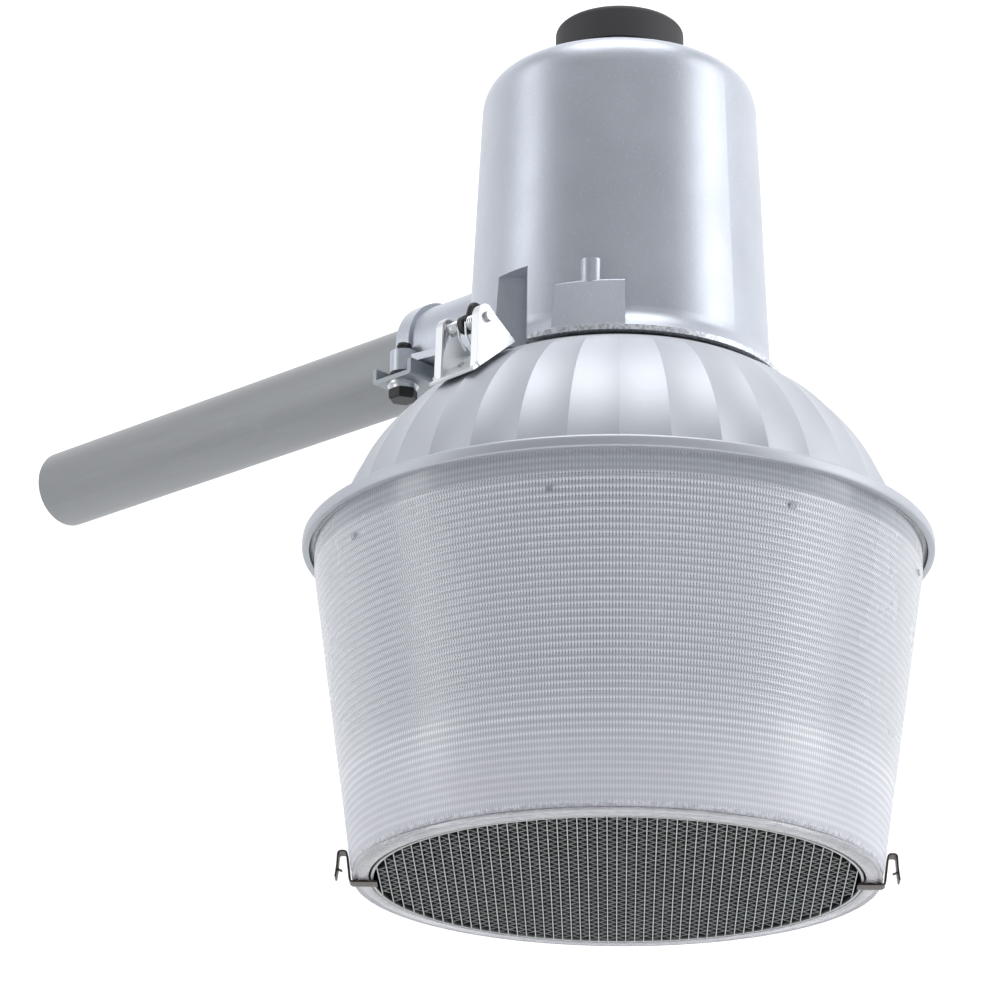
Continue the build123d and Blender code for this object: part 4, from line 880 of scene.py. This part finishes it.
class LAMP_OT_louver(bpy.types.Operator):
    """Fold the louver's zigzag strips between its straight ones, and bend its clips."""
    bl_idname = "lamp.louver"
    bl_label = "Louver and clips"

    def strips(self, sizes, inside):
        """Straight and zigzag strips, cut to a circle."""
        across = Vector((math.cos(sizes.across), math.sin(sizes.across)))
        along = Vector((-across.y, across.x))
        low, high = LOUVER_FOOT_Z, LOUVER_TOP_Z

        def put(u, v, height):
            spot = AXIS + across * u + along * v
            return Vector((spot.x, spot.y, height))

        solids = []
        trim = 0.5 * MM          # a zigzag strip is this much lower at each edge
        half_fold = sizes.fold / 2
        swing = sizes.pitch / 2 - sizes.strip / 2 - sizes.foil * 0.6
        last = int((inside - sizes.strip) / sizes.pitch)
        for index in range(-last, last + 1):
            offset = index * sizes.pitch
            reach = math.sqrt(inside ** 2 - (abs(offset) + sizes.strip / 2) ** 2)
            ends = [Vector((offset, -reach)), Vector((offset, reach))]
            solids.append(ribbon(ends, sizes.strip, low, high, put))
        for index in range(-last - 1, last + 1):
            near = (index + 0.5) * sizes.pitch
            if abs(near) + sizes.pitch / 2 >= inside:
                continue
            reach = math.sqrt(inside ** 2 - (abs(near) + sizes.pitch / 2) ** 2)
            number = int(reach / half_fold)
            path = []
            for step in range(-number, number + 1):
                side = 1 if (step + index) % 2 else -1
                path.append(Vector((near + side * swing, step * half_fold)))
            if len(path) > 1:
                solids.append(ribbon(path, sizes.foil, low + trim, high - trim, put))
        return gather(solids)

    def clip(self, sizes, turn):
        """A spring clip in its upright plane: foot, leg, bend, tail and barb."""
        refractor = bpy.context.scene.lamp_refractor
        band = FLANGE_RADIUS - refractor.flange_width
        slope = (band - refractor.mouth) / (REFRACTOR_TOP_Z - MOUTH_Z)
        half = sizes.clip_thickness / 2
        gap = 0.5 * MM
        leg = refractor.mouth + gap + half
        top = leg + slope * sizes.clip_leg
        low = MOUTH_Z - 0.3 * MM - half
        high = MOUTH_Z + sizes.clip_leg
        tail = top + sizes.clip_bend
        path = [(LOUVER_RADIUS - sizes.clip_reach, low), (leg, low), (top, high), (tail, high),
                (tail + 0.3 * MM, high - sizes.clip_tail * 0.55),
                (tail + 1.0 * MM, high - sizes.clip_tail)]
        put = upright(turn)
        width = sizes.clip_width / 2
        strip = ribbon(rounded(path, 1.6 * MM, 5), sizes.clip_thickness, -width, width, put)
        root, root_z = tail + 0.4 * MM, high - sizes.clip_tail * 0.60
        hook = [(root, root_z), (root - 1.2 * MM, root_z - 1.0 * MM),
                (root - 2.4 * MM, root_z - 1.2 * MM)]
        barb = ribbon(rounded(hook, 0.4 * MM, 3), sizes.clip_thickness * 0.6,
                      -width * 0.35, width * 0.35, put)
        return gather([strip, barb])

    def execute(self, context):
        sizes, colours = context.scene.lamp_louver, context.scene.lamp_colours
        black = louver_enamel("louver_enamel", colours.louver, colours.louver_edge_glint)
        finish_node("louver_ring", black)
        add_piece("louver_cells", self.strips(sizes, LOUVER_RADIUS - LOUVER_RING_WALL), [black],
                  "louver", ["louver_slats"])
        brown = dark_steel("spring_strip", colours.spring, roughness=0.34, rub=0.15)
        for side, turn in (("left", sizes.across), ("right", sizes.across + math.pi)):
            add_piece(f"clip_{side}", self.clip(sizes, turn), [brown], "louver",
                      [f"louver_clip_{side}"], soft_edge=0.12 * MM)
        return {"FINISHED"}


class LAMP_OT_latches(bpy.types.Operator):
    """Press the latch brackets and wind their springs."""
    bl_idname = "lamp.latches"
    bl_label = "Latches"

    def bracket(self, sizes, put, pin_radius, pin_z, foot_low):
        """Two folded ears on a base that follows the dome."""
        foot_out, foot_in = pin_radius + 6.0 * MM, pin_radius - 16.5 * MM
        foot_high = foot_low + 21.5 * MM
        slope = (foot_low - foot_high) / (foot_out + 3 * MM - foot_in)

        def foot(radius):
            return foot_high + slope * (radius - foot_in)

        crown = [(pin_radius + out * MM, pin_z + up * MM)
                 for out, up in ((-3.9, 3.0), (-1.5, 5.4), (1.2, 5.9), (3.9, 4.4), (5.2, 1.6))]
        outline = [(foot_in, foot(foot_in)), (foot_in, foot(foot_in) + 2.6 * MM), *crown,
                   (foot_out, foot(foot_out))]
        gap = sizes.ear_gap / 2
        solids = []
        for direction in (-1, 1):
            near, far = sorted((direction * gap, direction * (gap + sizes.sheet)))
            solids.append(plate(outline, near, far, put))
            edge = [*crown[1:], (foot_out, foot(foot_out) + 0.4 * MM)]
            inner, outer = sorted((direction * (gap - sizes.fold),
                                   direction * (gap + sizes.sheet * 0.9)))
            solids.append(ribbon(rounded(edge, 1.5 * MM, 3), 1.1 * MM, inner, outer, put))
            ledge = [Vector((foot_in - 0.1 * MM, foot(foot_in) + 1.5 * MM)),
                     Vector((foot_out + 0.1 * MM, foot(foot_out) + 1.5 * MM))]
            near, far = sorted((direction * (gap + 0.2 * MM),
                                direction * (gap + sizes.sheet + 0.55 * MM)))
            solids.append(ribbon(ledge, 2.6 * MM, near, far, put))
        base = [Vector((foot_in, foot(foot_in) + sizes.sheet / 2)),
                Vector((foot_out + 3 * MM, foot(foot_out + 3 * MM) + sizes.sheet / 2))]
        solids.append(ribbon(base, sizes.sheet, -gap - sizes.sheet, gap + sizes.sheet, put))
        return gather(solids)

    def spring(self, sizes, put, pin_radius, pin_z):
        """Two coils round the pin, with arms down to the base."""
        solids = []
        start, length = 2.6 * MM, 7.6 * MM
        end = start + length
        for direction in (-1, 1):
            path = [put(pin_radius + 4.6 * MM, pin_z - 15.5 * MM, direction * (end + 1.6 * MM)),
                    put(pin_radius + 3.6 * MM, pin_z - 8.0 * MM, direction * (end + 0.6 * MM))]
            steps = sizes.turns * COIL_STEPS
            for step in range(steps + 1):
                turn = TURN * sizes.turns * step / steps
                path.append(put(pin_radius + sizes.coil * math.cos(turn),
                                pin_z + sizes.coil * math.sin(turn),
                                direction * (start + length * (1 - step / steps))))
            for out, down in ((2.2, 6.0), (-2.0, 12.0)):
                path.append(put(pin_radius + out * MM, pin_z - down * MM,
                                direction * (start - 0.3 * MM)))
            solids.append(wire(path, sizes.wire, WIRE_SIDES))
        return gather(solids)

    def execute(self, context):
        sizes, colours = context.scene.lamp_latch, context.scene.lamp_colours
        zinc = zinc_plate()
        steel = dark_steel("latch_steel", colours.black, roughness=0.36)
        for side in ("left", "right"):
            pivot = middle(f"latch_spring_{side}")
            spot = pivot.xy - AXIS
            put = upright(math.atan2(spot.y, spot.x))
            foot_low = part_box(f"latch_bracket_{side}")[0].z
            ears = self.bracket(sizes, put, spot.length, pivot.z, foot_low)
            add_piece(f"bracket_{side}", ears, [zinc], "reflector",
                      [f"latch_bracket_{side}"], soft_edge=0.18 * MM)
            coils = self.spring(sizes, put, spot.length, pivot.z)
            add_piece(f"spring_{side}", coils, [zinc], "reflector",
                      [f"latch_spring_{side}"])
            finish_node(f"latch_pin_{side}", zinc)
            finish_node(f"latch_hook_{side}", steel)
        finish_node("latch_rivets", zinc)
        return {"FINISHED"}


class LAMP_OT_clamp(bpy.types.Operator):
    """Cut the clamp bolts' threads and finish the clamp."""
    bl_idname = "lamp.clamp"
    bl_label = "Arm clamp"

    def bolt(self, sizes, centre, head_z, tip_z):
        """A hex head below a threaded shank."""
        def put(reach, share, height):
            turn = TURN * share
            return Vector((centre.x + reach * math.cos(turn), centre.y + reach * math.sin(turn),
                           height))

        corner = sizes.head / 2 / math.cos(math.pi / HEX)
        rings = [(corner * 0.86, head_z), (corner, head_z + 0.8 * MM),
                 (corner, head_z + sizes.head_height - 0.3 * MM),
                 (corner * 0.95, head_z + sizes.head_height)]
        head = [put(reach, side / HEX, height) for reach, height in rings for side in range(HEX)]
        start = head_z + sizes.head_height - 0.2 * MM
        steps = int((tip_z - start) / (sizes.thread / THREAD_ROWS))
        shank = []
        for row in range(steps + 1):
            height = start + (tip_z - start) * row / steps
            ending = min(1.0, (tip_z - height) / (1.0 * MM))
            for column in range(THREAD_COLUMNS):
                share = column / THREAD_COLUMNS
                phase = (height / sizes.thread + share) % 1.0
                depth = THREAD_DEPTH * abs(2 * phase - 1)
                reach = sizes.bolt - depth - 0.7 * MM * (1 - ending)
                shank.append(put(reach, share, height))
        return gather([(head, capped_faces(len(rings) - 1, HEX)),
                       (shank, capped_faces(steps, THREAD_COLUMNS))])

    def execute(self, context):
        sizes, colours = context.scene.lamp_latch, context.scene.lamp_colours
        low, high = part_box("clamp_bolts")
        washers_low, washers_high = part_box("clamp_washers")
        spread = (washers_high.y - washers_low.y) / 2 - (washers_high.x - washers_low.x) / 2
        centre_x = (low.x + high.x) / 2
        bolts = [self.bolt(sizes, Vector((centre_x, side * spread)), low.z, high.z)
                 for side in (-1, 1)]
        black = dark_steel("black_bolts", colours.black, roughness=0.38)
        add_piece("clamp_bolts_threaded", gather(bolts), [black], "clamp",
                  ["clamp_bolts"], crease=30)
        finish_node("clamp_saddle", plated("galvanised", colours.galvanised, 0.36, 0.28, 0.7))
        for node in ("clamp_washers", "clamp_lock_washers"):
            finish_node(node, zinc_plate())
        return {"FINISHED"}


class LAMP_OT_receptacle(bpy.types.Operator):
    """Finish the photocontrol receptacle and its gasket."""
    bl_idname = "lamp.receptacle"
    bl_label = "Receptacle"

    def execute(self, context):
        finish_node("receptacle", black_moulding())
        finish_node("receptacle_gasket", pale_sponge())
        finish_node("receptacle_contacts", brass())
        for node in ("receptacle_plate", "receptacle_screws"):
            finish_node(node, zinc_plate())
        return {"FINISHED"}


class LAMP_OT_gear(bpy.types.Operator):
    """Finish the lamp, its holder and the ballast and control gear."""
    bl_idname = "lamp.gear"
    bl_label = "Lamp and gear"

    def execute(self, context):
        gear_sheet = plated("gear_sheet", (0.62, 0.64, 0.66, 1), 0.38, 0.2, 0.7)
        finishes = {
            zinc_plate(): ["gear_plate_screws", "lampholder_screws", "hanger_screws", "core_bolts",
                           "core_nuts", "arc_tube_frame"],
            brass(): ["lampholder_shell", "lampholder_contact", "lamp_base", "terminal_screws"],
            gear_sheet: ["gear_plate", "ballast_hanger", "capacitor_strap"],
            glazed("porcelain", (0.90, 0.89, 0.85, 1)): ["lampholder"],
            glazed("arc_ceramic", (0.86, 0.85, 0.80, 1)): ["arc_tube"],
            clear_glass("lamp_glass", (0.97, 0.98, 0.99, 1)): ["lamp_bulb"],
            laminated("core_laminations", (0.16, 0.16, 0.17, 1)): ["ballast_core"],
            wound("copper_winding", (0.55, 0.26, 0.12, 1)): ["ballast_coils"],
            bright_sheet("drawn_can", (0.72, 0.73, 0.74, 1), 1.4, 0.3): ["capacitor"],
            black_moulding(): ["ignitor", "terminal_block"],
            pale_sponge(): ["neck_gasket"],
            moulded("dark_rubber", (0.035, 0.035, 0.036, 1), 0.6, 0.2): ["refractor_gasket"],
        }
        for material, nodes in finishes.items():
            for node in nodes:
                finish_node(node, material)
        return {"FINISHED"}


class LAMP_OT_stage(bpy.types.Operator):
    """Set the floor, backdrop, soft lights and camera."""
    bl_idname = "lamp.stage"
    bl_label = "Stage"

    def sheet(self, name, corners, shade, one_sided):
        """A plain backdrop sheet, seen from its front only where one_sided."""
        mesh = bpy.data.meshes.new(name)
        mesh.from_pydata(corners, [], [(0, 1, 2, 3)])
        made = Finish(name, Roughness=0.9, Specular_IOR_Level=0.1,
                      Emission_Color=(1, 1, 1, 1), Emission_Strength=PAPER_GLOW)
        paper = made.blend(made.noise(3, 2), tone(shade, 0.99), shade)
        made.feed(Base_Color=paper)
        if one_sided:
            made.feed(Alpha=1 - made.node("ShaderNodeNewGeometry", {}, {}, "Backfacing"))
        mesh.materials.append(made.material)
        piece = bpy.data.objects.new(name, mesh)
        bpy.context.scene.collection.objects.link(piece)

    def light(self, name, spot, target, width, height, power):
        """A soft area light aimed at a point."""
        data = bpy.data.lights.new(name, "AREA")
        data.shape = "RECTANGLE"
        data.size, data.size_y = width, height
        data.energy = power
        lamp = bpy.data.objects.new(name, data)
        lamp.location = spot
        lamp.rotation_mode = "QUATERNION"
        lamp.rotation_quaternion = (target - spot).to_track_quat("-Z", "Y")
        bpy.context.scene.collection.objects.link(lamp)

    def execute(self, context):
        stage, scene = context.scene.lamp_stage, context.scene
        # camera
        toward = Vector((math.cos(stage.camera_angle), math.sin(stage.camera_angle), 0))
        axis = Vector((AXIS.x, AXIS.y, 0))
        spot = axis + toward * stage.camera_reach - Vector((0, 0, stage.camera_drop))
        level = math.cos(stage.look_up)
        look = Vector((math.cos(stage.look_angle) * level, math.sin(stage.look_angle) * level,
                       math.sin(stage.look_up)))
        right = look.cross(Vector((0, 0, 1))).normalized()
        up = right.cross(look)
        level_right = right * math.cos(stage.roll) + up * math.sin(stage.roll)
        level_up = up * math.cos(stage.roll) - right * math.sin(stage.roll)
        turn = Matrix((level_right, level_up, -look)).transposed().to_4x4()
        data = bpy.data.cameras.new("camera")
        data.lens = stage.lens
        data.sensor_width = SENSOR_WIDTH
        camera = bpy.data.objects.new("camera", data)
        camera.matrix_world = Matrix.Translation(spot) @ turn
        scene.collection.objects.link(camera)
        scene.camera = camera
        # backdrop behind the lamp, and the floor
        away = -toward
        side = Vector((away.y, -away.x, 0))
        centre = axis + away * stage.wall
        wide, foot = BACKDROP_REACH, -stage.floor
        wall = [centre + side * u + Vector((0, 0, v))
                for u, v in ((-wide, foot), (wide, foot), (wide, wide), (-wide, wide))]
        self.sheet("backdrop", wall, (0.96, 0.96, 0.965, 1), True)
        floor = [Vector((x * FLOOR_REACH, y * FLOOR_REACH, -stage.floor))
                 for x, y in ((-1, -1), (1, -1), (1, 1), (-1, 1))]
        self.sheet("floor", floor, (0.90, 0.90, 0.90, 1), False)
        # lights and world
        target = Vector((AXIS.x, AXIS.y, TARGET_Z))
        for name, across, near, above, width, height, power in LIGHTS:
            spot = target + side * across + toward * near + Vector((0, 0, above))
            self.light(name, spot, target, width, height, power)
        world = bpy.data.worlds.new("studio")
        world.use_nodes = True
        background = world.node_tree.nodes["Background"].inputs
        background["Color"].default_value = (0.93, 0.95, 1.0, 1)
        background["Strength"].default_value = WORLD_LIGHT
        scene.world = world
        scene.view_settings.view_transform = "Standard"
        return {"FINISHED"}


OPERATORS = (LAMP_OT_castings, LAMP_OT_reflector, LAMP_OT_refractor, LAMP_OT_louver,
             LAMP_OT_latches, LAMP_OT_clamp, LAMP_OT_receptacle, LAMP_OT_gear, LAMP_OT_stage)


class LAMP_PT_panel(bpy.types.Panel):
    """Area lamp pieces and their sizes."""
    bl_idname = "LAMP_PT_panel"
    bl_label = "Area Lamp"
    bl_space_type = "VIEW_3D"
    bl_region_type = "UI"
    bl_category = "Area Lamp"

    def draw(self, context):
        for operator in OPERATORS:
            self.layout.operator(operator.bl_idname)
        for group in GROUPS:
            holder = getattr(context.scene, group)
            box = self.layout.box()
            for name in holder.bl_rna.properties.keys():
                if name not in ("rna_type", "name"):
                    box.prop(holder, name)


CLASSES = (*GROUPS.values(), *OPERATORS, LAMP_PT_panel)


def register():
    """Register the classes and give the scene its sizes."""
    for item in CLASSES:
        bpy.utils.register_class(item)
    for name, group in GROUPS.items():
        setattr(bpy.types.Scene, name, PointerProperty(type=group))


def unregister():
    """Take the sizes and classes away again."""
    for name in GROUPS:
        delattr(bpy.types.Scene, name)
    for item in reversed(CLASSES):
        bpy.utils.unregister_class(item)


def main():
    """Build every piece."""
    register()
    for operator in OPERATORS:
        group, name = operator.bl_idname.split(".")
        getattr(getattr(bpy.ops, group), name)()


if __name__ == "__main__":
    main()
